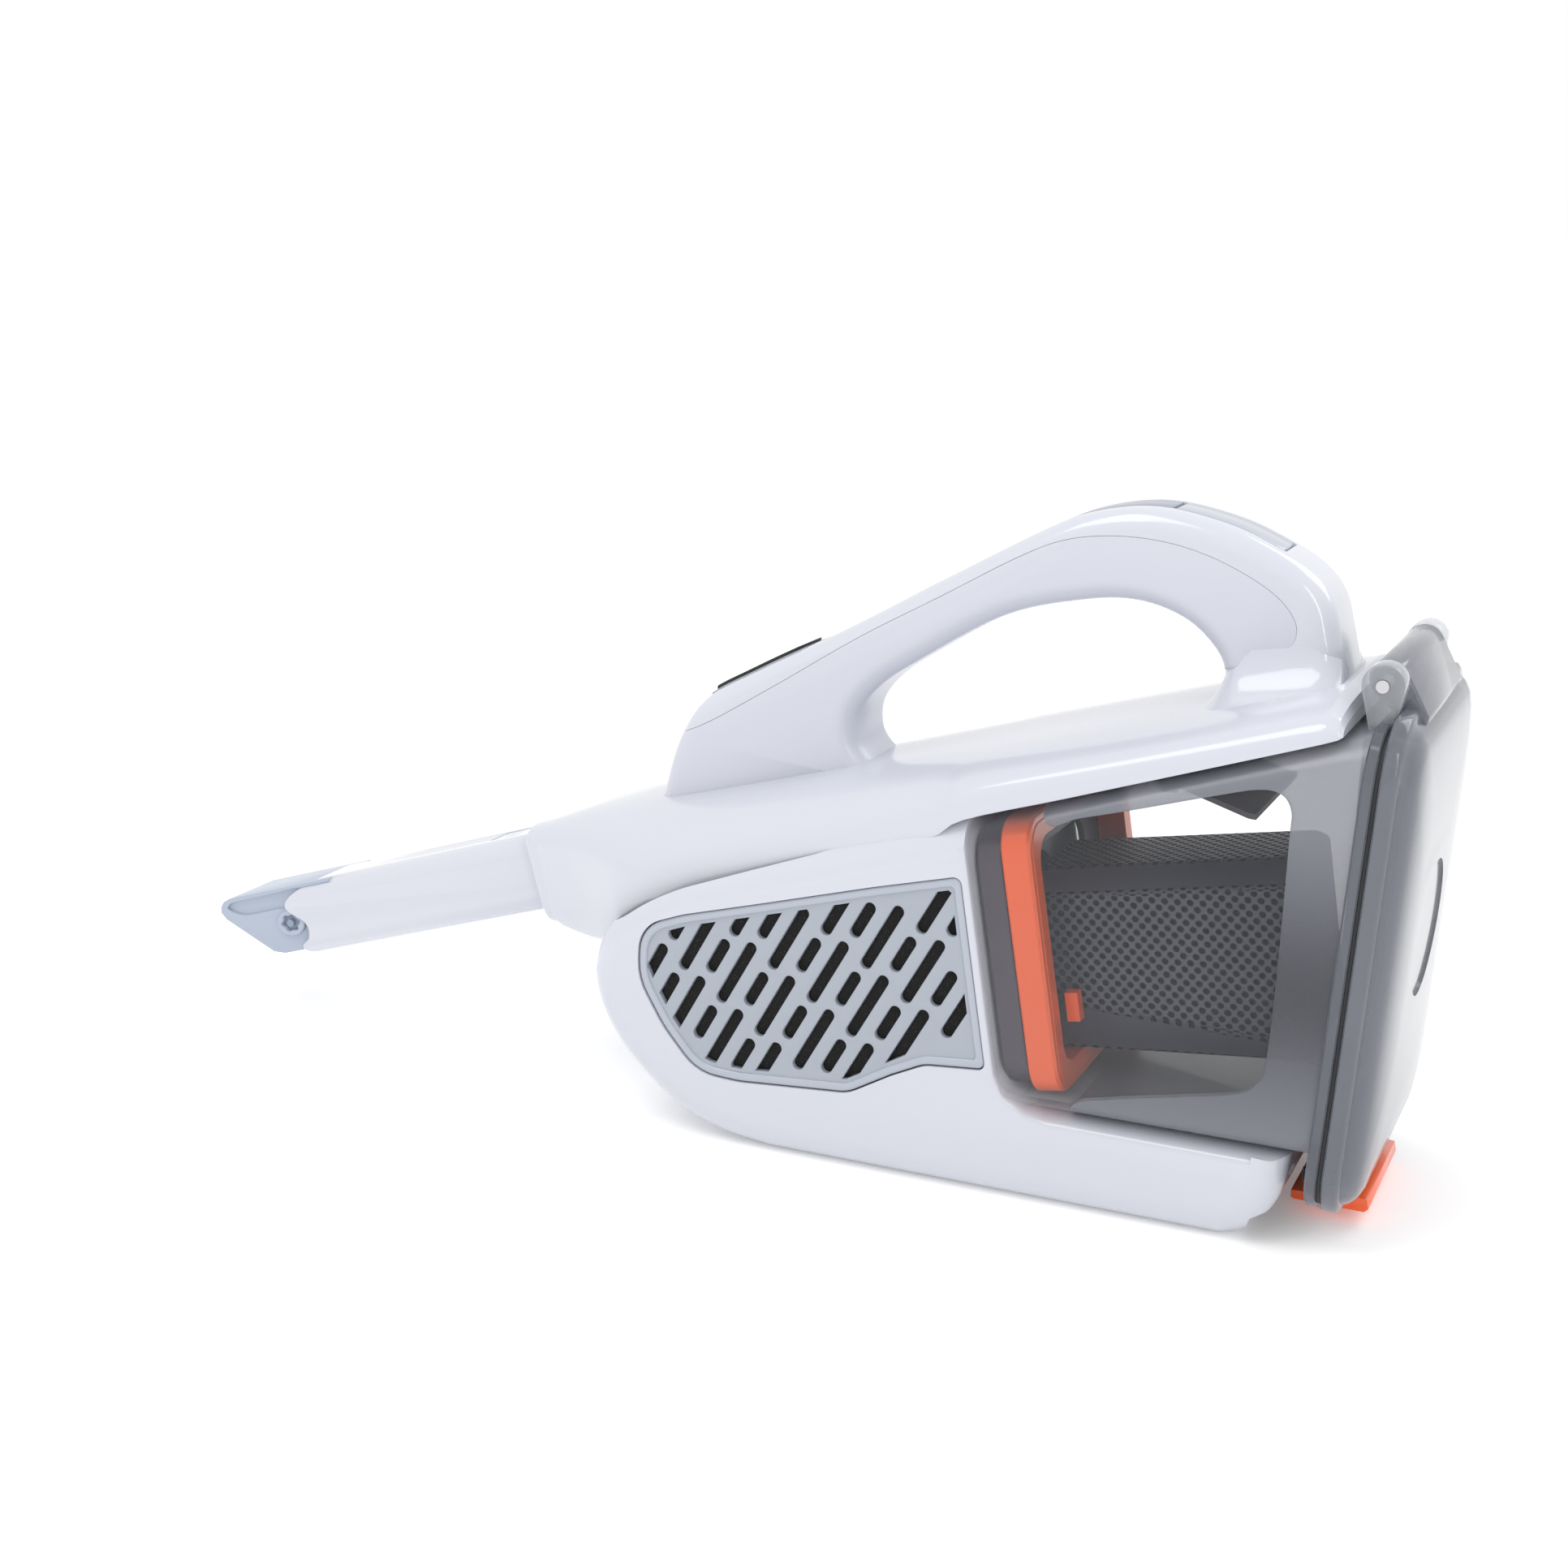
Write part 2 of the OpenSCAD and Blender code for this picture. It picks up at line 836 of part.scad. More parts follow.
module latch_pin() {
    color("silver") y_rod(latch_at, 1.5, -30.6, 30.6);
}

module latch_spring() {
    color("gray")
    for (y = [-20, 20])
        translate([97.5, y, 9.9]) difference() {
            cylinder(h = 4, r = 2);
            translate([0, 0, -1]) cylinder(h = 6, r = 1.4);
        }
}

flap_at = [47.5, 144];

module flap_pivots() {
    color("dimgray")
    for (s = [-1, 1])
        difference() {
            side_slab(s > 0 ? 31 : -33, s > 0 ? 33 : -31)
                polygon([
                    [43, bin_top(43) - wall - 0.15], [52, bin_top(52) - wall - 0.15], [50, 141], [45, 141]
                ]);
            y_rod(flap_at, 1.03, -40, 40);
        }
}

module inlet_flap() {
    color("dimgray")
    union() {
        y_rod(flap_at, 1, -33, 33);
        side(30.4) polygon([
            [flap_at[0] - 0.8, flap_at[1] + 0.6], [flap_at[0] - 0.8, flap_at[1] - 0.8],
            [73, 134.6], [75.5, 134.4], [75.5, 136.4], [73.4, 136.4]
        ]);
    }
}

// ---- filter ----

module filter_frame() {
    color([0.2, 0.18, 0.22])
    difference() {
        core_plate(1.2, 10.4) rounded(109, 89, 12);
        core_plate(0, 8) rounded(103, 83, 9);
        core_plate(0, 20) rounded(60, 60, 8);
    }
}

module filter_ring() {
    color("darkorange")
    core_plate(10.4, 20.8)
        difference() {
            rounded(110, 95, 11);
            rounded(92, 78, 9);
        }
}

function screen_end(half, low, mid_low, mid_high, high) = [
    [-half, mid_low], [-half + 7, low], [half - 7, low], [half, mid_low],
    [half, mid_high], [half - 16, high], [16 - half, high], [-half, mid_high]
];

module screen_solid(t) {
    hull() {
        core_plate(10.5, 20.8) polygon(screen_end(35 - t, -38 + t, -18, 17.5 - t, 23 - t));
        core_plate(96, 98 - t) polygon(screen_end(33 - t, -43.5 + t, -36, 18 - t, 24 - t));
    }
}

module prefilter_screen() {
    color([0.3, 0.3, 0.35])
    difference() {
        screen_solid(0);
        screen_solid(1.4);
        core_plate(5, 12.3) rounded(60, 60, 8);
    }
}

pleats = 28;

module pleated_filter() {
    color("ivory")
    core_plate(12.6, 78)
        translate([0, -8])
            difference() {
                polygon([for (i = [0:2 * pleats - 1])
                    let (r = i % 2 == 0 ? 26 : 20, a = 180 * i / pleats) [r * cos(a), r * sin(a)]]);
                circle(r = 16);
            }
}

module filter_tab() {
    color("orangered")
    core_frame() translate([20.85, -40, -25]) cube([4.4, 4.6, 10]);
}

upper_housing(1);  // upper_housing_left
upper_housing(-1);  // upper_housing_right
lower_housing(1);  // lower_housing_left
lower_housing(-1);  // lower_housing_right
handle_band(1);  // handle_band_left
handle_band(-1);  // handle_band_right
handle_grip(1);  // handle_grip_left
handle_grip(-1);  // handle_grip_right
handle_inlay();
power_button();
power_switch();
button_spring();
indicator_bezel();
indicator_window();
indicator_board();
vent_grille(1);  // vent_grille_left
vent_grille(-1);  // vent_grille_right
exhaust_foam(1);  // exhaust_foam_left
exhaust_foam(-1);  // exhaust_foam_right
fan_shroud();
impeller();
motor_shaft();
motor_can();
motor_windings();
motor_mount();
inlet_duct();
neck_seal();
bin_seal();
control_board();
motor_leads();
battery_cells();
cell_tray();
cell_strips();
foot_pads();
charging_socket();
housing_screws();
crevice_sleeve();
tool_button();
tool_button_spring();
nozzle_tip();
tip_pin();
dust_bin();
bin_gasket();
bin_door();
door_hinge_pin();
door_latch();
latch_pin();
latch_spring();
flap_pivots();
inlet_flap();
filter_frame();
filter_ring();
prefilter_screen();
pleated_filter();
filter_tab();
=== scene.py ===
import math

import bmesh
import bpy
import numpy as np
from mathutils import Matrix, Vector


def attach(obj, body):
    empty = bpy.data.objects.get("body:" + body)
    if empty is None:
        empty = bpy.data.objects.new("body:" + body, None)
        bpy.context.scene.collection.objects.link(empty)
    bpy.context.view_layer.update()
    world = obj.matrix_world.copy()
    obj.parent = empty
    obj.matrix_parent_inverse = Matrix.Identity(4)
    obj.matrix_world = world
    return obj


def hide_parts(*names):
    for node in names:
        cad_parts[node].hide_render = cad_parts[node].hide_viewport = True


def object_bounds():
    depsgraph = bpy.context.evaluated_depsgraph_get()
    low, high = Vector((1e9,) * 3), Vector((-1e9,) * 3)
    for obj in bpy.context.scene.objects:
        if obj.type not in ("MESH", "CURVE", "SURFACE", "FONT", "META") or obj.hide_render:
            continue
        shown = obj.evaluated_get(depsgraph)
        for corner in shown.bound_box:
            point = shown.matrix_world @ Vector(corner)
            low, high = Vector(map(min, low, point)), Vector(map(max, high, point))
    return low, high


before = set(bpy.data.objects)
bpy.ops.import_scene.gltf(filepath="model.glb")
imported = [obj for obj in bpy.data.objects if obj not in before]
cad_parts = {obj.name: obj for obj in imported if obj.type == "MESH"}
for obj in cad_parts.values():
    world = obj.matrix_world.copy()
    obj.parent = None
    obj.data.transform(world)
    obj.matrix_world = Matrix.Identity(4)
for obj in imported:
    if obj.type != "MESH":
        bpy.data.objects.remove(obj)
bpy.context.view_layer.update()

# Shapes are drawn in millimetres in the CAD frame and scaled to metres when a mesh is made.
MM = 0.001
# Corners closer than this are one corner, in metres
WELD = 2e-6
# Grains in a metre of a satin or paper surface
GRAIN = 900
# Height of the dark filter behind the frosted walls, and half the height over which it fades, in metres; the
# walls take painted shade in this band
FILTER_SHADE_BAND = (0.088, 0.062)


# ---------------------------------------------------------------- materials

def node_material(name):
    m = bpy.data.materials.new(name)
    m.use_nodes = True
    tree = m.node_tree
    shader = tree.nodes["Principled BSDF"]
    return m, tree, shader


def plastic(name, color, rough, coat=0.0, metal=0.0, bump=0.0):
    """Moulded plastic, rubber, paper or metal. bump is the strength of its fine grain."""
    m, tree, s = node_material(name)
    s.inputs["Base Color"].default_value = (*color, 1)
    s.inputs["Roughness"].default_value = rough
    s.inputs["Metallic"].default_value = metal
    s.inputs["Coat Weight"].default_value = coat
    s.inputs["Coat Roughness"].default_value = 0.06
    if bump:
        where = tree.nodes.new("ShaderNodeTexCoord")
        noise = tree.nodes.new("ShaderNodeTexNoise")
        noise.inputs["Scale"].default_value = GRAIN
        noise.inputs["Detail"].default_value = 3
        b = tree.nodes.new("ShaderNodeBump")
        b.inputs["Strength"].default_value = bump
        b.inputs["Distance"].default_value = 0.0003
        tree.links.new(where.outputs["Object"], noise.inputs["Vector"])
        tree.links.new(noise.outputs["Fac"], b.inputs["Height"])
        tree.links.new(b.outputs["Normal"], s.inputs["Normal"])
    return m


def see_through(name, color, share, rough, edge, dark=None):
    """Clear moulding: share of the light passes straight through, less at grazing angles.
    dark is the colour of the painted shade that it takes on in front of the filter."""
    m, tree, s = node_material(name)
    s.inputs["Base Color"].default_value = (*color, 1)
    s.inputs["Roughness"].default_value = rough
    s.inputs["Coat Weight"].default_value = 0.3
    clear = tree.nodes.new("ShaderNodeBsdfTransparent")
    facing = tree.nodes.new("ShaderNodeLayerWeight")
    facing.inputs["Blend"].default_value = edge
    amount = tree.nodes.new("ShaderNodeMapRange")
    amount.inputs["To Min"].default_value = share
    amount.inputs["To Max"].default_value = share * 0.25
    mix = tree.nodes.new("ShaderNodeMixShader")
    out = tree.nodes["Material Output"]
    tree.links.new(facing.outputs["Facing"], amount.inputs["Value"])
    tree.links.new(amount.outputs["Result"], mix.inputs["Fac"])
    tree.links.new(s.outputs["BSDF"], mix.inputs[1])
    tree.links.new(clear.outputs["BSDF"], mix.inputs[2])
    tree.links.new(mix.outputs["Shader"], out.inputs["Surface"])
    # Painted shade: the base colour turns to dark in a band round the filter's height
    if dark:
        where = tree.nodes.new("ShaderNodeTexCoord")
        split = tree.nodes.new("ShaderNodeSeparateXYZ")
        tree.links.new(where.outputs["Object"], split.inputs["Vector"])
        far = math_node(tree, "ABSOLUTE", math_node(tree, "SUBTRACT", split.outputs["Z"], FILTER_SHADE_BAND[0]))
        ramp = tree.nodes.new("ShaderNodeMapRange")
        ramp.interpolation_type = "SMOOTHSTEP"
        ramp.inputs["From Max"].default_value = FILTER_SHADE_BAND[1]
        shade = tree.nodes.new("ShaderNodeMix")
        shade.data_type = "RGBA"
        shade.inputs[6].default_value = (*dark, 1)
        shade.inputs[7].default_value = (*color, 1)
        tree.links.new(far, ramp.inputs["Value"])
        tree.links.new(ramp.outputs["Result"], shade.inputs[0])
        tree.links.new(shade.outputs[2], s.inputs["Base Color"])
    return m


def math_node(tree, kind, a, b=None):
    n = tree.nodes.new("ShaderNodeMath")
    n.operation = kind
    for i, v in enumerate((a, b)):
        if v is None:
            continue
        if isinstance(v, (int, float)):
            n.inputs[i].default_value = v
        else:
            tree.links.new(v, n.inputs[i])
    return n.outputs["Value"]


def perforated(name, color, hole, pitch, row, radius):
    """Plastic with a staggered grid of small round holes, laid out on the UV map in metres.
    The holes are painted, not cut: their near-black colour is painted shade inside them.
    """
    m, tree, s = node_material(name)
    uv = tree.nodes.new("ShaderNodeUVMap")
    uv.uv_map = "lay"
    split = tree.nodes.new("ShaderNodeSeparateXYZ")
    tree.links.new(uv.outputs["UV"], split.inputs["Vector"])
    r = math_node(tree, "DIVIDE", split.outputs["Y"], row)
    odd = math_node(tree, "MODULO", math_node(tree, "FLOOR", r), 2.0)
    shift = math_node(tree, "MULTIPLY", math_node(tree, "ABSOLUTE", odd), 0.5)
    c = math_node(tree, "ADD", math_node(tree, "DIVIDE", split.outputs["X"], pitch), shift)
    du = math_node(tree, "SUBTRACT", math_node(tree, "FRACT", c), 0.5)
    dv = math_node(tree, "SUBTRACT", math_node(tree, "FRACT", r), 0.5)
    x = math_node(tree, "POWER", math_node(tree, "MULTIPLY", du, pitch), 2.0)
    y = math_node(tree, "POWER", math_node(tree, "MULTIPLY", dv, row), 2.0)
    d = math_node(tree, "SQRT", math_node(tree, "ADD", x, y))
    ramp = tree.nodes.new("ShaderNodeMapRange")
    ramp.inputs["From Min"].default_value = radius * 0.85
    ramp.inputs["From Max"].default_value = radius * 1.15
    tree.links.new(d, ramp.inputs["Value"])
    # Painted shade in the holes, the plate's own colour between them
    mix = tree.nodes.new("ShaderNodeMix")
    mix.data_type = "RGBA"
    mix.inputs[6].default_value = (*hole, 1)
    mix.inputs[7].default_value = (*color, 1)
    tree.links.new(ramp.outputs["Result"], mix.inputs[0])
    tree.links.new(mix.outputs[2], s.inputs["Base Color"])
    tree.links.new(math_node(tree, "MULTIPLY", ramp.outputs["Result"], 0.35), s.inputs["Specular IOR Level"])
    s.inputs["Roughness"].default_value = 0.45
    b = tree.nodes.new("ShaderNodeBump")
    b.inputs["Strength"].default_value = 0.6
    b.inputs["Distance"].default_value = 0.0004
    tree.links.new(ramp.outputs["Result"], b.inputs["Height"])
    tree.links.new(b.outputs["Normal"], s.inputs["Normal"])
    return m


def sparkling_foam(name):
    """Black open foam whose cell walls catch the light: the light specks are painted glints, and the
    near-black between them is painted shade in the cells.
    """
    m, tree, s = node_material(name)
    where = tree.nodes.new("ShaderNodeTexCoord")
    cells = tree.nodes.new("ShaderNodeTexVoronoi")
    cells.inputs["Scale"].default_value = 1500
    # Painted glints and painted shade, from the distance to the cell points
    ramp = tree.nodes.new("ShaderNodeMapRange")
    ramp.inputs["From Max"].default_value = 0.22
    ramp.inputs["To Min"].default_value = 0.16
    ramp.inputs["To Max"].default_value = 0.006
    tree.links.new(where.outputs["Object"], cells.inputs["Vector"])
    tree.links.new(cells.outputs["Distance"], ramp.inputs["Value"])
    tree.links.new(ramp.outputs["Result"], s.inputs["Base Color"])
    s.inputs["Roughness"].default_value = 0.9
    return m


WHITE = plastic("white_gloss", (0.545, 0.56, 0.62), 0.18, 0.5)
SATIN = plastic("white_satin", (0.53, 0.545, 0.605), 0.32, 0.2, bump=0.03)
GREY = plastic("trim_grey", (0.33, 0.36, 0.41), 0.28, 0.25)
# Lighter, glossier copy of the trim grey: its lighter colour is painted highlight on the grille's raised
# rim; the power button cap takes it too
RIM = plastic("trim_rim", (0.38, 0.41, 0.47), 0.2, 0.4)
TIP = plastic("tip_grey", (0.36, 0.41, 0.50), 0.33, 0.1)
# Darker copy of the tip grey: painted shade at the bottom of the boss's socket; the tip pin takes it too
TIP_DEEP = plastic("tip_recess", (0.24, 0.28, 0.37), 0.4)
INLAY = plastic("inlay_grey", (0.25, 0.27, 0.32), 0.3, 0.2)
BLACK = plastic("black_plastic", (0.012, 0.012, 0.014), 0.35)
WINDOW = plastic("display_black", (0.008, 0.008, 0.01), 0.45)
PURPLE = plastic("dark_purple_grey", (0.045, 0.036, 0.050), 0.45)
ORANGE = plastic("orange_gloss", (0.74, 0.095, 0.008), 0.3, 0.1)
LATCH = plastic("latch_orange", (0.86, 0.10, 0.008), 0.25, 0.4)
RUBBER = plastic("seal_rubber", (0.02, 0.02, 0.023), 0.6)
STEEL = plastic("steel", (0.55, 0.55, 0.57), 0.25, metal=1.0)
MOTOR = plastic("motor_case", (0.20, 0.21, 0.24), 0.35, metal=0.6)
COPPER = plastic("windings", (0.55, 0.22, 0.08), 0.35, metal=0.8)
BOARD = plastic("board_green", (0.02, 0.12, 0.05), 0.4)
WIRE = plastic("wire_red", (0.45, 0.02, 0.02), 0.4)
CELL = plastic("cell_wrap", (0.03, 0.14, 0.35), 0.3, 0.3)
NICKEL = plastic("nickel", (0.6, 0.57, 0.5), 0.3, metal=1.0)
PAPER = plastic("filter_paper", (0.72, 0.70, 0.64), 0.9, bump=0.4)
FOAM = sparkling_foam("foam_black")
SCREEN = perforated("screen_grey", (0.055, 0.055, 0.075), (0.003, 0.003, 0.005), 0.0042, 0.0023, 0.00112)
SCREEN_EDGE = plastic("screen_edge", (0.06, 0.06, 0.08), 0.4)
CLEAR = see_through("bin_clear", (0.5, 0.52, 0.56), 0.975, 0.05, 0.15)
# The frosted walls take a band of painted shade where the dark filter stands behind them
FROST = see_through("bin_frosted", (0.22, 0.23, 0.265), 0.32, 0.3, 0.3, dark=(0.06, 0.063, 0.078))
FLANGE = see_through("flange_smoke", (0.12, 0.13, 0.155), 0.32, 0.12, 0.3)
DOOR = see_through("door_smoke", (0.15, 0.16, 0.19), 0.32, 0.12, 0.3)
LUG = see_through("lug_clear", (0.45, 0.47, 0.50), 0.62, 0.06, 0.3)


# ---------------------------------------------------------------- mesh helpers

def new_object(name, data):
    ob = bpy.data.objects.new(name, data)
    bpy.context.scene.collection.objects.link(ob)
    return ob


def weld(me, bevel=0):
    """Joins doubled corners and turns the faces outwards; bevel then rounds the edges, in millimetres."""
    bm = bmesh.new()
    bm.from_mesh(me)
    bmesh.ops.remove_doubles(bm, verts=bm.verts, dist=WELD)
    bmesh.ops.recalc_face_normals(bm, faces=bm.faces)
    if bevel:
        bmesh.ops.bevel(bm, geom=[e for e in bm.edges if len(e.link_faces) == 2], offset=bevel * MM,
                        segments=3, profile=0.5, affect="EDGES")
    bm.to_mesh(me)
    bm.free()


def dress(ob, angle):
    """Smooth shading that breaks at edges sharper than angle, in degrees."""
    for p in ob.data.polygons:
        p.use_smooth = True
    ob.data.set_sharp_from_angle(angle=math.radians(angle))


def build(name, verts, faces, mat, angle=32):
    me = bpy.data.meshes.new(name)
    me.from_pydata([Vector(v) * MM for v in verts], [], faces)
    weld(me)
    ob = new_object(name, me)
    if mat:
        me.materials.append(mat)
    dress(ob, angle)
    return ob


def apply_modifiers(ob):
    dg = bpy.context.evaluated_depsgraph_get()
    new = bpy.data.meshes.new_from_object(ob.evaluated_get(dg))
    ob.modifiers.clear()
    old = ob.data
    ob.data = new
    bpy.data.meshes.remove(old)


def boolean(ob, tools, kind="DIFFERENCE", angle=32, solver="EXACT"):
    for tool in tools:
        m = ob.modifiers.new("cut", "BOOLEAN")
        m.operation = kind
        m.solver = solver
        m.object = tool
    apply_modifiers(ob)
    for tool in tools:
        data = tool.data
        bpy.data.objects.remove(tool)
        bpy.data.meshes.remove(data)
    dress(ob, angle)
    return ob


def soften(ob, width, segments=2, angle=35):
    """Rounds the sharp edges; width is in millimetres."""
    m = ob.modifiers.new("soft", "BEVEL")
    m.width = width * MM
    m.segments = segments
    m.limit_method = "ANGLE"
    m.angle_limit = math.radians(angle)
    m.use_clamp_overlap = True
    apply_modifiers(ob)
    dress(ob, 40)
    return ob


def copy_of(ob, name):
    new = ob.copy()
    new.data = ob.data.copy()
    new.name = name
    bpy.context.scene.collection.objects.link(new)
    return new


def place(ob, body, slot_name, *nodes):
    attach(ob, body)
    if nodes:
        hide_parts(*nodes)
    return ob


def loft(name, rings, mat, angle=32, caps=True):
    """Skin over closed rings that have the same number of points."""
    n = len(rings[0])
    verts = [tuple(p) for r in rings for p in r]
    faces = []
    for k in range(len(rings) - 1):
        for i in range(n):
            j = (i + 1) % n
            faces.append((k * n + i, k * n + j, (k + 1) * n + j, (k + 1) * n + i))
    if caps:
        faces.append(tuple(range(n - 1, -1, -1)))
        faces.append(tuple((len(rings) - 1) * n + i for i in range(n)))
    return build(name, verts, faces, mat, angle)


def spline(points, steps=6, closed=False):
    """Smooth curve through the points, as steps pieces from one to the next."""
    p = [np.array(q, float) for q in points]
    n = len(p)
    out = []
    for i in range(n if closed else n - 1):
        b, c = p[i], p[(i + 1) % n]
        a = p[i - 1] if closed or i > 0 else 2 * b - c
        d = p[(i + 2) % n] if closed or i + 2 < n else 2 * c - b
        for k in range(steps):
            t = k / steps
            out.append((2 * b + (c - a) * t + (2 * a - 5 * b + 4 * c - d) * t * t
                        + (3 * b - a - 3 * c + d) * t ** 3) / 2)
    if not closed:
        out.append(p[-1])
    return out


def tidy(points, gap=0.4):
    """Drops points that nearly coincide."""
    out = [np.array(points[0], float)]
    for q in points[1:]:
        if np.linalg.norm(np.array(q, float) - out[-1]) > gap:
            out.append(np.array(q, float))
    if np.linalg.norm(out[0] - out[-1]) <= gap:
        out.pop()
    return out


def offset(points, amount, share=None):
    """Counter-clockwise outline moved inwards; share scales the move of each edge."""
    p = [np.array(q, float) for q in points]
    n = len(p)
    share = share or [1.0] * n
    edge = [(p[(i + 1) % n] - p[i]) for i in range(n)]
    normal = [np.array((-e[1], e[0])) / max(np.linalg.norm(e), 1e-9) for e in edge]
    out = []
    for i in range(n):
        a, b = normal[i - 1], normal[i]
        da, db = amount * share[i - 1], amount * share[i]
        det = a[0] * b[1] - a[1] * b[0]
        if abs(det) < 0.15:
            m = a + b
            out.append(p[i] + m / np.linalg.norm(m) * (da + db) / 2)
        else:
            out.append(p[i] + np.array(((da * b[1] - db * a[1]), (a[0] * db - b[0] * da))) / det)
    return out


def prism(name, outline, y0, y1, mat=None):
    return loft(name, [[(q[0], y, q[1]) for q in outline] for y in (y0, y1)], mat)


def pillow(name, outline, side, half, deep, wide, mat, y_in=0.0, share=None, steps=9, both=False):
    """Outline across the width with a rolled outer edge: deep along Y, wide in the outline's plane."""
    turn = [math.pi / 2 * k / steps for k in range(steps + 1)]
    outer = [(half - deep * (1 - math.sin(a)), wide * (1 - math.cos(a))) for a in turn]
    if both:
        levels = [(-y, w) for y, w in reversed(outer)] + outer
    else:
        levels = [(side * y_in, 0.0)] + [(side * y, w) for y, w in outer]
    return loft(name, [[(q[0], y, q[1]) for q in offset(outline, w, share)] for y, w in levels], mat)


def rounded(half_a, low_b, high_b, r, n=6):
    """Rounded rectangle in (a, b), counter-clockwise."""
    out = []
    for ca, cb, start in ((half_a - r, high_b - r, 0), (r - half_a, high_b - r, 90),
                          (r - half_a, low_b + r, 180), (half_a - r, low_b + r, 270)):
        for k in range(n + 1):
            t = math.radians(start + 90 * k / n)
            out.append((ca + r * math.cos(t), cb + r * math.sin(t)))
    return out


def turns(n):
    return np.linspace(0, 2 * math.pi, n, endpoint=False)


def circle(r, n, at=(0, 0)):
    return [(at[0] + r * math.cos(t), at[1] + r * math.sin(t)) for t in turns(n)]


def tag(side):
    return "left" if side > 0 else "right"


def rotation_y(angle, at):
    """Frame at a point in X-Z whose local x axis leans up by angle, in degrees."""
    a = math.radians(angle)

    def go(u, y, w):
        return (at[0] + u * math.cos(a) - w * math.sin(a), y, at[1] + u * math.sin(a) + w * math.cos(a))
    return go


def framed_ring(go, u, half, low, high, r, n=8):
    """Rounded rectangle across the x axis of a leaning frame, at u along it."""
    return [go(u, a, b) for a, b in rounded(half, low, high, r, n)]


def fill_flat(name, loops, y, thick, bevel, mat):
    """Flat plate in X-Z from closed loops, the later ones being holes, with rounded edges.
    It is thick along Y, and y is the middle of that."""
    cu = bpy.data.curves.new(name, "CURVE")
    cu.dimensions = "2D"
    cu.fill_mode = "BOTH"
    cu.extrude = (thick / 2 - bevel) * MM
    cu.bevel_depth = bevel * MM
    cu.offset = -bevel * MM
    cu.bevel_resolution = 2
    for loop in loops:
        sp = cu.splines.new("POLY")
        sp.points.add(len(loop) - 1)
        for i, q in enumerate(loop):
            sp.points[i].co = (q[0] * MM, q[1] * MM, 0, 1)
        sp.use_cyclic_u = True
    tmp = new_object(name + "_curve", cu)
    dg = bpy.context.evaluated_depsgraph_get()
    me = bpy.data.meshes.new_from_object(tmp.evaluated_get(dg))
    bpy.data.objects.remove(tmp)
    me.transform(Matrix.Translation((0, y * MM, 0)) @ Matrix.Rotation(math.radians(90), 4, "X"))
    weld(me)
    ob = new_object(name, me)
    me.materials.clear()
    me.materials.append(mat)
    dress(ob, 40)
    return ob


# ---------------------------------------------------------------- shared design lines

# Leans of the beam's seam, the motor and filter axis, and the bin's rear plane, in degrees
SEAM_LEAN, CORE_LEAN, REAR_LEAN = 18, 9, 4
CORE_AT = (-6, 81.5)
REAR_AT = (104, 34)
# Leaning frames of the nozzle, of the motor and filter, and of the door
TOOL = rotation_y(17, (-205, 75.5))
CORE = rotation_y(CORE_LEAN, CORE_AT)
REAR = rotation_y(-REAR_LEAN, REAR_AT)
# Pivot axes, as X and Z
HINGE = (114.4, 184.2)
LATCH_AT = (105, 8)
# Places along the nozzle's axis
TIP_U = -121
BUTTON_U = -14.7
BODY_HALF, BIN_HALF, GRIP_HALF = 58, 59.5, 18
WALL = 2.6
AIR_WAY_R, AIR_WAY_DROP = 30, -6


def seam_z(x):
    """Height of the seam between the lower housing and the beam."""
    return 101 + math.tan(math.radians(SEAM_LEAN)) * (x + 105)


def crest_z(x):
    """Height of the beam's crest, where the handle stands."""
    return 143 + 0.27 * (x + 37)


def joint_x(z):
    """X of the plane where the bin meets the housing."""
    return CORE_AT[0] - (z - CORE_AT[1]) * math.tan(math.radians(CORE_LEAN))


# ---------------------------------------------------------------- lower housing

nose = spline([(-13.4, 130.7), (-60, 115.6), (-105, 101), (-124, 94), (-141, 84), (-152, 72), (-156.5, 59),
               (-154.5, 45), (-147, 31), (-135, 18.5), (-121, 8.5), (-104, 2.4), (-86, 0)], 6)
heel = spline([(76, 0), (85, 3.6), (91, 10), (95, 18.5), (97.4, 31.8)], 6)
shell_line = [*nose, *heel, (joint_x(32) + 14, 32), (joint_x(34.5) + 8, 33.6), (joint_x(40) + 2.5, 38),
              (joint_x(48) + 0.3, 46)]
shell_share = [1.0] * (len(nose) + len(heel) - 1) + [0.35, 0.3, 0.25, 0.2, 0.15]
# Sharp corners of the grille, each with its rounding
grille_corners = [
    ((-14.3, 111.3), 2.5), ((-45, 103.6), 60), ((-85, 92.6), 60), ((-117, 84.0), 40), ((-134.5, 77.5), 14),
    ((-135.5, 58), 22), ((-125.5, 41), 40), ((-112.5, 26), 18), ((-96, 25.2), 30), ((-54, 28.4), 14),
    ((-38, 37.6), 10), ((-26, 43.4), 12), ((-4.2, 45.3), 2.5)]


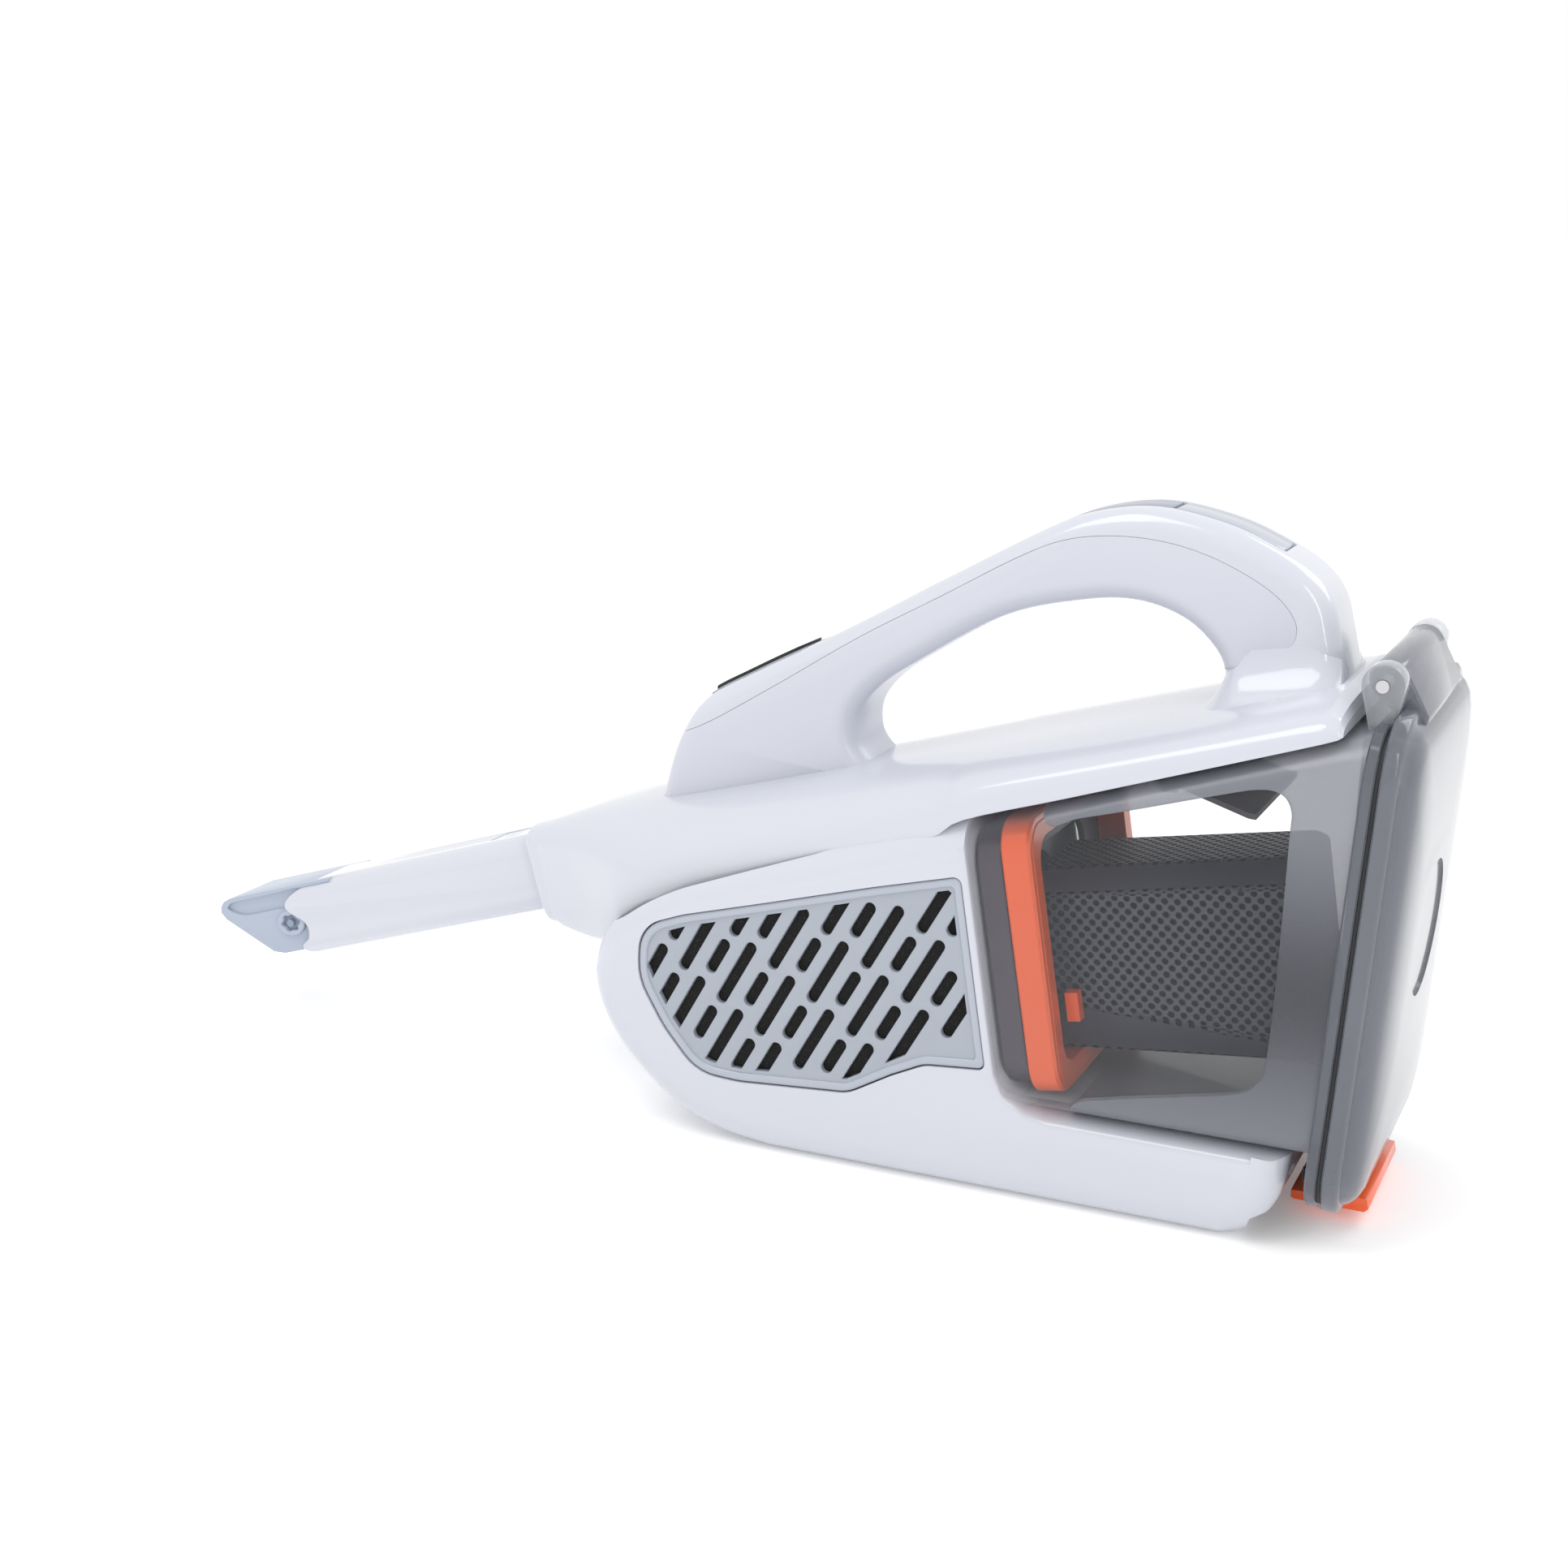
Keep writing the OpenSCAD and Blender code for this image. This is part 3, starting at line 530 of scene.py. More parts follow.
def fillets(corners, move=0.0):
    """Rounded outline from sharp counter-clockwise corners with radii, moved inwards by move."""
    pts = offset([c[0] for c in corners], move)
    out = []
    for i, p in enumerate(pts):
        a, b = pts[i - 1] - p, pts[(i + 1) % len(pts)] - p
        la, lb = np.linalg.norm(a), np.linalg.norm(b)
        a, b = a / la, b / lb
        turn = math.acos(max(-1, min(1, float(-np.dot(a, b)))))
        left = a[0] * b[1] - a[1] * b[0] < 0
        r = corners[i][1] - move if left else corners[i][1] + move
        cut = min(max(r, 1.4) * math.tan(turn / 2), 0.48 * la, 0.48 * lb)
        if turn < 0.02:
            out.append(p)
            continue
        r = cut / math.tan(turn / 2)
        start, end = p + a * cut, p + b * cut
        bis = (a + b) / np.linalg.norm(a + b)
        centre = p + bis * (r / math.cos(turn / 2))
        t0 = math.atan2(*(start - centre)[::-1])
        t1 = math.atan2(*(end - centre)[::-1])
        while t1 - t0 > math.pi:
            t1 -= 2 * math.pi
        while t1 - t0 < -math.pi:
            t1 += 2 * math.pi
        n = max(2, int(abs(t1 - t0) / math.radians(10)) + 1)
        out += [centre + r * np.array((math.cos(t), math.sin(t))) for t in np.linspace(t0, t1, n + 1)]
    return tidy(out, 0.12)


def cavity(side):
    floor_top = 29.4
    back = [(92, WALL), (92, floor_top), (joint_x(floor_top) - WALL, floor_top),
            (joint_x(127) - WALL, seam_z(-16) - 0.5)]
    front = [(-104, 104), (-124, 99), (-143, 90), (-150, 76), (-153.5, 60), (-151, 46), (-143, 32),
             (-132, 21), (-119, 11.5), (-103, 5), (-86, WALL)]
    return pillow("cavity", tidy([*back, *front]), side, BODY_HALF - WALL, 8, 8, None, y_in=-0.2)


def lower_shell(side):
    ob = pillow(f"shell_lower_{tag(side)}", shell_line, side, BODY_HALF, 9, 11, WHITE,
                share=shell_share, steps=10)
    hole = prism("hole", fillets(grille_corners, -0.3), side * (BODY_HALF - 9), side * (BODY_HALF + 3))
    air_line = circle(AIR_WAY_R, 40, (0, AIR_WAY_DROP))
    air = loft("air", [[CORE(u, a, b) for a, b in air_line] for u in (-10, 5)], None)
    boolean(ob, [cavity(side), hole, air])
    place(ob, "housing", "white_shell", f"lower_housing_{tag(side)}")


lower_shell(1)
lower_shell(-1)


# ---------------------------------------------------------------- upper housing

# Each section: top point, bottom point, half width, roundness above, height of the widest line
# as a share, roundness below.
beam_sections = [
    ((-205.6, 94.2), (-195.8, 58.4), 20.3, 5.5, 0.5, 5.5),
    ((-204.8, 95.0), (-195.0, 57.6), 20.9, 5.2, 0.5, 5.2),
    ((-199.5, 96.8), (-191.0, 56.8), 21.8, 5.0, 0.5, 5.0),
    ((-197.5, 97.6), (-189.0, 56.0), 22.8, 4.6, 0.5, 4.8),
    ((-187, 102.0), (-180, 54.6), 26.6, 4.0, 0.48, 4.2),
    ((-175, 106.6), (-170, 54.0), 32.0, 3.5, 0.45, 3.6),
    ((-161, 110.8), (-160, 56.0), 39.0, 3.1, 0.40, 3.2),
    ((-149, 113.6), (-151, 64.0), 44.5, 2.9, 0.30, 3.0),
    ((-131, 118.0), (-137, 78.0), 48.5, 2.8, 0.18, 3.0),
    ((-105, 124.8), (-112, 93.0), 50.5, 2.8, 0.08, 4.0),
    ((-60, 136.9), (-62, 110.0), 53.0, 2.85, 0.03, 6.0),
    ((-27, 145.8), (-27, 122.0), 55.5, 2.95, 0.02, 8.0),
    ((-14, 149.3), (-14, seam_z(-14)), 57.4, 3.0, 0.01, 12.0),
    ((20, 158.5), (20, seam_z(20)), 57.6, 3.0, 0.01, 12.0),
    ((60, 169.2), (60, seam_z(60)), 57.6, 3.0, 0.01, 12.0),
    ((92, 177.9), (92, seam_z(92)), 57.4, 3.0, 0.01, 12.0),
    ((100, 179.2), (100, seam_z(100)), 57.0, 3.1, 0.01, 12.0),
    ((104, 177.2), (104, seam_z(104)), 56.0, 3.2, 0.01, 12.0),
    ((105.6, 174.4), (105.6, seam_z(105.6) + 0.4), 55.0, 3.4, 0.01, 12.0),
]


def beam_ring(top, low, half, n_up, share, n_down):
    """Ring of the beam, from two half superellipses."""
    out = []
    mid = [low[k] + share * (top[k] - low[k]) for k in (0, 1)]
    steps = 64
    for i in range(steps):
        t = 2 * math.pi * i / steps
        c, s = math.cos(t), math.sin(t)
        n = n_up if s >= 0 else n_down
        y = half * math.copysign(abs(c) ** (2 / n), c)
        h = abs(s) ** (2 / n)
        end = top if s >= 0 else low
        out.append((mid[0] + h * (end[0] - mid[0]), y, mid[1] + h * (end[1] - mid[1])))
    return out


def smooth_sections(rows):
    """Three more sections between each two, straight near the ends of the beam and smooth elsewhere."""
    steps = 4
    flat = [np.array([*a, *b, w, n, q, m], float) for a, b, w, n, q, m in rows]
    out = []
    for i in range(len(flat) - 1):
        a = flat[max(i - 1, 0)]
        b, c = flat[i], flat[i + 1]
        d = flat[min(i + 2, len(flat) - 1)]
        for k in range(steps):
            t = k / steps
            m0, m1 = (c - a) / 2, (d - b) / 2
            if i < 3 or i > len(flat) - 5:
                v = b + (c - b) * t
            else:
                v = ((2 * t ** 3 - 3 * t ** 2 + 1) * b + (t ** 3 - 2 * t ** 2 + t) * m0
                     + (3 * t ** 2 - 2 * t ** 3) * c + (t ** 3 - t ** 2) * m1)
            out.append(v)
    out.append(flat[-1])
    return [((v[0], v[1]), (v[2], v[3]), v[4], v[5], v[6], v[7]) for v in out]


beam = loft("shell_upper", [beam_ring(*s) for s in smooth_sections(beam_sections)], WHITE, 28)


def tool_ring(u, half_high, half_wide, r):
    return framed_ring(TOOL, u, half_wide, -half_high, half_high, r, 6)


def tool_block(name, outline, y0, y1, mat=None):
    """Block across the nozzle, from an outline in the plane of its axis."""
    return loft(name, [[TOOL(u, y, w) for u, w in outline] for y in (y0, y1)], mat)


passage = loft("passage", [tool_ring(u, 15.4, 17.9, 8.4) for u in (-14, 137)], None)
seal_room = loft("seal_room", [tool_ring(u, 17, 19.5, 10) for u in (6, 10)], None)
# Opening of the air path above the bin: where it starts and ends, and half its width
inlet_x0, inlet_x1, inlet_half = 46, 78, 34
inlet = prism("inlet", [(inlet_x0, seam_z(inlet_x0) - 3), (inlet_x1, seam_z(inlet_x1) - 3),
                        (inlet_x1, seam_z(inlet_x1) + 4), (inlet_x0, seam_z(inlet_x0) + 4)],
              -inlet_half, inlet_half)
inside = loft("inside", [[(x, y, z) for y, z in rounded(30, seam_z(x) + 2.4, crest_z(x) - 4, 5)]
                         for x in (-66, 96)], None)
boolean(beam, [passage, seal_room, inside, inlet], angle=28)
place(beam, "housing", "white_shell", "upper_housing_left", "upper_housing_right")


# ---------------------------------------------------------------- handle

outer_line = spline([
    (100, crest_z(98) - 7), (98, crest_z(98) + 1), (95.5, 191), (92, 203), (84.5, 212), (72, 219.3),
    (56, 225.7), (34, 229.8), (14, 227.5), (-4, 220.5), (-39, 201.5), (-75, 181.5), (-110, 163.5),
    (-131, 151), (-142, 134), (-149, crest_z(-149) - 1.5)], 6)
arch_line = spline([
    (-62, crest_z(-62) - 1.5), (-66, crest_z(-66) + 0.5), (-70.4, 142), (-70, 152), (-63, 161.5), (-50, 171),
    (-18, 190), (9, 197.5), (28, 199), (44, 194.5), (54.5, 186), (58.6, 177), (58, crest_z(58) - 7)], 6)
handle_line = tidy([*outer_line, *arch_line])
# The only long steps run under the feet of the legs, where the edge isn't rolled
foot_step = 30
legs_share = [1.0] * len(handle_line)
for i, q in enumerate(handle_line):
    if np.linalg.norm(handle_line[(i + 1) % len(handle_line)] - q) > foot_step:
        legs_share[i] = 0.0
grip_line = tidy(spline([
    (60, 179.5), (76, 184.5), (82, 191.5), (80.5, 199), (72, 207), (56, 215), (39, 219.6), (21, 220.6),
    (4, 218), (-13, 210.5), (-38, 196.5), (-68, 180), (-105, 157), (-131, 142), (-152, 134.5)], 5)
    + [np.array((-175, 120.0)), np.array((-175, 90.0)), np.array((0, 90.0)), np.array((20, 165.0))])


def clean_flat(ob):
    """Joins the slivers that a boolean leaves in flat faces."""
    sliver = 0.02 * MM
    bm = bmesh.new()
    bm.from_mesh(ob.data)
    bmesh.ops.remove_doubles(bm, verts=bm.verts, dist=sliver)
    bmesh.ops.dissolve_degenerate(bm, edges=bm.edges, dist=sliver)
    bmesh.ops.dissolve_limit(bm, angle_limit=math.radians(0.4), verts=bm.verts, edges=bm.edges)
    bm.to_mesh(ob.data)
    bm.free()


def crest_strip(name, x0, x1, top, bottom, half, mat, edge=0.0):
    """Strip that follows the crest of the handle between two depths."""
    a, b = offset(handle_line, top), offset(handle_line, bottom)
    # Height above which the outer line is the crest: the upper loop, or the root
    above = 205 if x1 > 0 else 150
    keep = [i for i, q in enumerate(handle_line)
            if x0 < q[0] < x1 and q[1] > above and i < len(outer_line)]

    def at(line, x):
        for i in range(keep[0] - 3, keep[-1] + 3):
            p, q = line[i], line[i + 1]
            if (p[0] - x) * (q[0] - x) <= 0 and p[0] != q[0]:
                return p + (q - p) * (x - p[0]) / (q[0] - p[0])
        return line[keep[0]]
    upper = [at(a, x1), *[a[i] for i in keep if x0 + 0.3 < a[i][0] < x1 - 0.3], at(a, x0)]
    lower = [at(b, x0), *[b[i] for i in reversed(keep) if x0 + 0.3 < b[i][0] < x1 - 0.3], at(b, x1)]
    ob = prism(name, tidy(upper + lower, 0.05), -half, half, mat)
    if edge:
        soften(ob, edge)
    return ob


# The handle is one pillow, parted at the groove into the outer band and the inner grip
groove_half = 0.06
whole = pillow("handle_whole", handle_line, 1, GRIP_HALF, 8, 7, WHITE, share=legs_share, steps=8, both=True)
boolean(whole, [crest_strip("cut_inlay", -38, 37.9, -2, 2.3, 8.2, None),
                crest_strip("cut_button", 37.8, 75.4, -2, 8, 8.2, None),
                crest_strip("cut_display", -129, -91, -2, 2.2, 11, None)])
grip = copy_of(whole, "handle_grip")
boolean(whole, [prism("cut_grip", offset(grip_line, -groove_half), -40, 40)], solver="FAST")
whole.name = "handle_band"
boolean(grip, [prism("keep_grip", offset(grip_line, groove_half), -40, 40)], "INTERSECT", solver="FAST")
grip.data.materials.clear()
grip.data.materials.append(SATIN)
clean_flat(whole)
clean_flat(grip)
soften(whole, 0.5, 2, 50)
soften(grip, 0.6, 2, 50)
place(whole, "housing", "white_shell", "handle_band_left", "handle_band_right")
place(grip, "housing", "white_grip", "handle_grip_left", "handle_grip_right")

# Flare where the rear leg meets the beam, from its foot up
flare_rings = []
for t in np.linspace(0, 1, 16):
    grow = (1 - t) ** 3
    z_l, z_r = 157.5 + 34 * t, 169.5 + 26 * t
    left, right = 60.2 - 16 * grow, 100.8 - 7.2 * t
    half = 17.8 + 33 * grow
    ring = []
    for a, b in rounded((right - left) / 2, -half, half, 8 + 5 * grow):
        x = (left + right) / 2 + a
        ring.append((x, b, z_l + (z_r - z_l) * (x - left) / (right - left)))
    flare_rings.append(ring)
flare = loft("handle_flare", flare_rings, WHITE, 40)
place(flare, "housing", "white_shell")

place(crest_strip("handle_inlay_strip", -37.8, 37.6, -0.05, 2.2, 7.9, INLAY, 0.5),
      "housing", "grey_trim", "handle_inlay")
place(crest_strip("power_button_cap", 38.7, 74.6, -0.1, 3.0, 7.6, RIM, 0.7), "power_button", "grey_trim",
      "power_button")
bezel = crest_strip("display_bezel", -128.8, -91.2, -0.35, 2.0, 10.8, GREY)
place(bezel, "housing", "grey_trim", "indicator_bezel")
place(crest_strip("display_glass", -127, -94.5, -1.5, -0.4, 10.2, WINDOW, 0.3), "housing", "dark_window",
      "indicator_window")


# ---------------------------------------------------------------- exhaust grilles

def clip(poly, line):
    """Cuts a small convex polygon at the edges of a counter-clockwise outline that cross it."""
    for i in range(len(line)):
        a, b = line[i], line[(i + 1) % len(line)]
        mid = np.mean(poly, axis=0)
        if np.linalg.norm(mid - (a + b) / 2) > 24:
            continue
        t = b - a
        side = [t[0] * (q[1] - a[1]) - t[1] * (q[0] - a[0]) for q in poly]
        along = [np.dot(q - a, t) / np.dot(t, t) for q in poly]
        if not any(s < 0 and -0.4 < w < 1.4 for s, w in zip(side, along)):
            continue
        new = []
        for k in range(len(poly)):
            m = (k + 1) % len(poly)
            if side[k] >= 0:
                new.append(poly[k])
            if side[k] * side[m] < 0:
                f = side[k] / (side[k] - side[m])
                new.append(poly[k] + (poly[m] - poly[k]) * f)
        if len(new) < 3:
            return []
        poly = new
    return poly


def area(poly):
    """Area of an outline, above zero if it runs counter-clockwise."""
    return sum(a[0] * b[1] - b[0] * a[1] for a, b in zip(poly, [*poly[1:], poly[0]])) / 2


def inside_of(q, line):
    hit = False
    for i in range(len(line)):
        a, b = line[i], line[(i + 1) % len(line)]
        if (a[1] > q[1]) != (b[1] > q[1]) and q[0] < (b[0] - a[0]) * (q[1] - a[1]) / (b[1] - a[1]) + a[0]:
            hit = not hit
    return hit


def stadium(at, length, width):
    """Slot outline that starts at a point and leans up by slot_lean."""
    slot_lean = 60
    half_turn_steps = 7
    c = np.array((math.cos(math.radians(slot_lean)), math.sin(math.radians(slot_lean))))
    out = []
    for centre, start in ((np.array(at) + c * length, slot_lean - 90), (np.array(at), slot_lean + 90)):
        for k in range(half_turn_steps + 1):
            t = math.radians(start + 180 * k / half_turn_steps)
            out.append(centre + width / 2 * np.array((math.cos(t), math.sin(t))))
    return out


# Slots in pairs, a long one and a short one, repeated on a slanting grid
slot_origin = np.array((-102.8, 55.2))
along_row, next_row = np.array((34.8, 5.4)), np.array((20, 15.4))
to_short = np.array((10.8, 0.6))
long_slot, short_slot, slot_width = 23, 10.5, 4.2
least_area = 12


def slots():
    """Outlines of the slots, cut off where they would run into the rim."""
    field = fillets(grille_corners, 4.3)
    out = []
    for i in range(-3, 5):
        for j in range(-3, 4):
            at = slot_origin + i * along_row + j * next_row
            if not -165 < at[0] < 0:
                continue
            for start, length in ((at, long_slot), (at + to_short, short_slot)):
                poly = stadium(start, length, slot_width)
                if not any(inside_of(q, field) for q in poly):
                    continue
                poly = clip(poly, field)
                if poly and area(poly) > least_area and inside_of(np.mean(poly, axis=0), field):
                    out.append(tidy(poly, 0.15))
    return out


slot_loops = slots()


def grille(side):
    name = f"grille_{tag(side)}"
    plate = fill_flat(name, [fillets(grille_corners, 0.05), *slot_loops], side * (BODY_HALF - 2.5), 2.6,
                      0.45, GREY)
    place(plate, "housing", "grey_trim", f"vent_grille_{tag(side)}")
    # The raised rim is lighter than the plate: painted highlight
    rim = fill_flat(f"{name}_rim", [fillets(grille_corners, 0.06), fillets(grille_corners, 3.0)],
                    side * (BODY_HALF - 1.6), 2.4, 0.8, RIM)
    place(rim, "housing", "grey_trim")


grille(1)
grille(-1)


# ---------------------------------------------------------------- crevice nozzle

def sleeve_front():
    """Cutter in front of the sleeve: a long slanted top edge and a curved side edge round the boss."""
    line = spline([(-97, 17), (-106, 14.6), (-114, 12.4), (-119, 9.8), (-120.6, 6.8), (-118.2, 3.6),
                   (-113.8, 0.4), (-112.0, -3.6), (-113.4, -7.6), (-117.4, -9.8), (-118.4, -12.2),
                   (-115.8, -15.0), (-112, -18)], 5)
    return tool_block("front", [*line, (-150, -22.0), (-150, 22.0), (-97, 22.0)], -24, 24)


def button_block(name, half, low, high, mat=None):
    """Square block across the wall of the sleeve, where the release button sits."""
    return loft(name, [[TOOL(u + BUTTON_U, y, w) for u, y in rounded(half, -half, half, 1.2)]
                       for w in (low, high)], mat)


sleeve = loft("nozzle_sleeve", [tool_ring(u, 15, 17.5, 8) for u in (-122, 45)], WHITE)
bore = loft("bore", [tool_ring(u, 13, 15.5, 6) for u in (-130, 60)], None)
boolean(sleeve, [bore, sleeve_front(), button_block("pocket", 6.35, 11, 19)])
soften(sleeve, 0.5, 2, 45)
place(sleeve, "crevice", "white_shell", "crevice_sleeve")

button = button_block("nozzle_release_button", 6, 12, 14.9, WHITE)
soften(button, 0.4)
place(button, "release_button", "white_shell", "tool_button")

tip_profile = [(-155, 6.4), (-135.5, -10.6), (-130, -12.2), (-120, -12.2), (-114.5, -8), (-112.2, 8.6),
               (-112.2, 13.2), (-97, 13.4), (-97, 14.7), (-150.5, 14.7), (-154.0, 13.8), (-156.0, 12.0),
               (-156.8, 9.6)]
hollow_profile = [(-160, 5), (-137, -15), (-130, -10.8), (-112, -11), (-80, -16), (-80, 13.2),
                  (-152.5, 13.2), (-162, 9.0)]
panel_line = spline([(-152.4, 10.2), (-151.4, 12.2), (-147, 13.0), (-130, 13.1), (-111, 13.1),
                     (-111, 6.4), (-128, 6.4), (-144.6, 6.6)], 4, closed=True)
tip = tool_block("nozzle_head", tip_profile, -14.7, 14.7, TIP)
boolean(tip, [tool_block("hollow", hollow_profile, -12.6, 12.6)])
for side in (-1, 1):
    boolean(tip, [tool_block("panel", panel_line, side * 13.4, side * 16)])
soften(tip, 0.45, 2, 45)
place(tip, "tip", "blue_grey_tip", "nozzle_tip")


def boss_ring(y, r, wave=0.0):
    """Ring round the tip's pivot, a little flattened, with six lobes if it has a wave."""
    flatten = 0.78
    out = []
    for t in turns(64):
        k = r + wave * math.cos(6 * t)
        out.append(TOOL(TIP_U + k * math.cos(t), y, flatten * k * math.sin(t)))
    return out


socket_wave = 0.5
for side in (-1, 1):
    boss = loft(f"nozzle_boss_{tag(side)}",
                [boss_ring(side * 12.8, 7.0), boss_ring(side * 16.2, 7.0), boss_ring(side * 16.6, 6.6),
                 boss_ring(side * 16.6, 4.6, socket_wave), boss_ring(side * 16.2, 4.3, socket_wave),
                 boss_ring(side * 14.9, 4.2, socket_wave)], TIP, 30)
    place(boss, "tip", "blue_grey_tip")
    # The socket's floor is a thin disc in the darker tip grey, as painted shade
    socket = loft(f"nozzle_socket_{tag(side)}",
                  [boss_ring(side * 14.92, 4.1, socket_wave), boss_ring(side * 15.0, 3.9, socket_wave)],
                  TIP_DEEP)
    place(socket, "tip", "blue_grey_tip")


# ---------------------------------------------------------------- dust bin

def bin_top(x):
    return seam_z(x) - 1.4


def bin_ring(thick, share):
    """Ring of the bin walls, from share 0 at the joint plane to 1 at the rear plane, set in by thick."""
    half, low = BIN_HALF - thick, 33.2 + thick

    def x_at(z):
        left = joint_x(z) + 0.8
        right = REAR_AT[0] + 0.2 + (z - REAR_AT[1]) * math.tan(math.radians(REAR_LEAN))
        return left + (right - left) * share

    # The top edge lies where two leaning planes meet, which a few rounds settle
    high = 140.0
    for _ in range(30):
        high = bin_top(x_at(high)) - thick * 1.05
    return [(x_at(z), y, z) for y, z in rounded(half, low, high, 10 - thick)]


shares = [0, 0.04, 0.2, 0.4, 0.6, 0.8, 1.0]
bin_skin = [bin_ring(0, s) for s in shares] + [bin_ring(2.4, s) for s in reversed(shares)] + [bin_ring(0, 0)]
bin_walls = loft("bin_walls", bin_skin, FROST, caps=False)
boolean(bin_walls, [prism("air_hole", [(inlet_x0, 140), (inlet_x1, 150), (inlet_x1, 166), (inlet_x0, 157)],
                          -inlet_half, inlet_half)])
window_edge = spline([(8, 156), (14, 133.5), (26, 136.2), (44, 141.2), (69, 148.6), (82, 152), (89, 151.4),
                      (92.3, 146.5), (92.2, 137), (91, 97), (89.2, 65), (87, 57), (80, 52.4), (61, 48),
                      (40, 43.4), (27, 39), (23, 28)], 5)
window_line = [*tidy(window_edge), np.array((-40, 20.0)), np.array((-40, 160.0))][::-1]
window = copy_of(bin_walls, "bin_window")
boolean(window, [prism("keep_window", window_line, -80, 80)], "INTERSECT")
window.data.materials.clear()
window.data.materials.append(CLEAR)
boolean(bin_walls, [prism("cut_window", offset(window_line, -0.12), -80, 80)])
place(bin_walls, "bin", "smoke_clear", "dust_bin")
place(window, "bin", "smoke_clear")

# Rings from here on are rows of: place along the axis, half width, low, high and corner radius
flange_edge = (0, 60.2, -19.2, 138.7, 15.4)
flange_rings = [
    flange_edge, (0.7, 61, -20, 139.5, 16), (3.4, 61, -20, 139.5, 16), (3.9, 60.4, -19.4, 138.9, 15.6),
    (3.9, 57.1, 1.9, 133, 8), (0, 57.1, 1.9, 133, 8), flange_edge]
flange = loft("bin_flange", [framed_ring(REAR, *r) for r in flange_rings], FLANGE, caps=False)
place(flange, "bin", "smoke_clear")
gasket_edge = (4.05, 60, -18.4, 138.2, 14.6)
gasket_rings = [
    gasket_edge, (5.0, 60, -18.4, 138.2, 14.6), (5.0, 56.2, 2.6, 132, 8), (4.05, 56.2, 2.6, 132, 8),
    gasket_edge]
gasket = loft("bin_gasket_ring", [framed_ring(REAR, *r) for r in gasket_rings], RUBBER, caps=False)
place(gasket, "bin", "seal_rubber", "bin_gasket")


def y_disc(at, r, y):
    return [(x, y, z) for x, z in circle(r, 28, at)]


def convex(points):
    """Counter-clockwise outline round all the points."""
    pts = sorted(points)

    def half(row):
        out = []
        for q in row:
            while len(out) > 1 and ((out[-1][0] - out[-2][0]) * (q[1] - out[-2][1])
                                    - (out[-1][1] - out[-2][1]) * (q[0] - out[-2][0])) <= 0:
                out.pop()
            out.append(q)
        return out[:-1]
    return half(pts) + half(pts[::-1])


def lug(name, y0, y1, r, foot, mat, bore_r, at, edge=0.8):
    """Ear round an axis along Y that runs down to a foot, given as places in the rear frame."""
    ob = prism(name, convex([*circle(r, 28, at), *(rear_xz(*q) for q in foot)]), y0, y1, mat)
    soften(ob, edge, 3, 50)
    boolean(ob, [loft("hole", [y_disc(at, bore_r, y) for y in (y0 - 2, y1 + 2)], None)])
    return ob


def rear_xz(u, w):
    x, _, z = REAR(u, 0, w)
    return (x, z)


for side in (-1, 1):
    y0, y1 = sorted((side * 34.5, side * 44))
    ear = lug(f"bin_lug_{tag(side)}", y0, y1, 6.6, [(0, 128), (3.5, 128), (0, 136)], LUG, 2.1, HINGE)
    place(ear, "bin", "smoke_clear")
    y0, y1 = sorted((side * 27.5, side * 31))
    ear = lug(f"latch_lug_{tag(side)}", y0, y1, 3.2, [(0, -19.5), (3.9, -19.5), (3.9, -17)], LUG, 1.6,
              LATCH_AT, 0.4)
    place(ear, "bin", "smoke_clear")

door_barrel = lug("door_barrel", -34, 34, 6.2, [(6.6, 138), (13.2, 138), (13.2, 141)], DOOR, 2.1, HINGE, 1.2)
place(door_barrel, "door", "door_clear")

door_rings = [
    (5.3, 61.0, -20.0, 142.0, 17.2), (6.0, 61.9, -20.9, 142.9, 18.0), (9.6, 61.9, -20.9, 142.9, 18.0),
    (10.8, 60.9, -19.9, 141.6, 17.2), (11.0, 59.2, -18.3, 139.6, 16.4), (13.2, 58.0, -17.2, 137.8, 15.8),
    (15.2, 56.0, -15.4, 134.8, 15.0), (16.5, 53.0, -12.4, 130.0, 14.0), (17.4, 48.5, -5.0, 122.0, 13.0),
    (18.1, 42.0, 8.0, 112.0, 12.0), (18.5, 34.0, 24.0, 98.0, 11.0)]
inner_rings = [
    (4.0, 57.5, -16.5, 137.5, 14.0), (12.6, 55.6, -14.8, 135.0, 14.0), (14.6, 52.0, -11.0, 129.6, 13.0),
    (15.8, 46.0, -2.0, 119.0, 12.0), (16.4, 36.0, 20.0, 100.0, 11.0)]
recess_line = circle(23, 64, (0, 64))
door = loft("door_shell", [framed_ring(REAR, *r) for r in door_rings], DOOR, 50)
inner = loft("door_inner", [framed_ring(REAR, *r) for r in inner_rings], None)
recess = loft("door_recess", [[REAR(u, a, b) for a, b in recess_line] for u in (17.6, 20)], None)
boolean(door, [inner, recess], angle=50)
place(door, "door", "door_clear", "bin_door")


# ---------------------------------------------------------------- filter

frame_edge = (1.2, 51.5, -41.5, 41.5, 9)
frame_rings = [
    frame_edge, (1.2, 53.6, -43.6, 43.6, 11.4), (2.2, 54.5, -44.5, 44.5, 12), (9.8, 54.5, -44.5, 44.5, 12),
    (10.3, 54.0, -44.0, 44.0, 11.6), (10.3, 30, -30, 30, 8), (8, 30, -30, 30, 8), (8, 51.5, -41.5, 41.5, 9),
    frame_edge]
filter_frame = loft("filter_frame_rim", [framed_ring(CORE, *r) for r in frame_rings], PURPLE, caps=False)
place(filter_frame, "filter", "dark_plastic", "filter_frame")

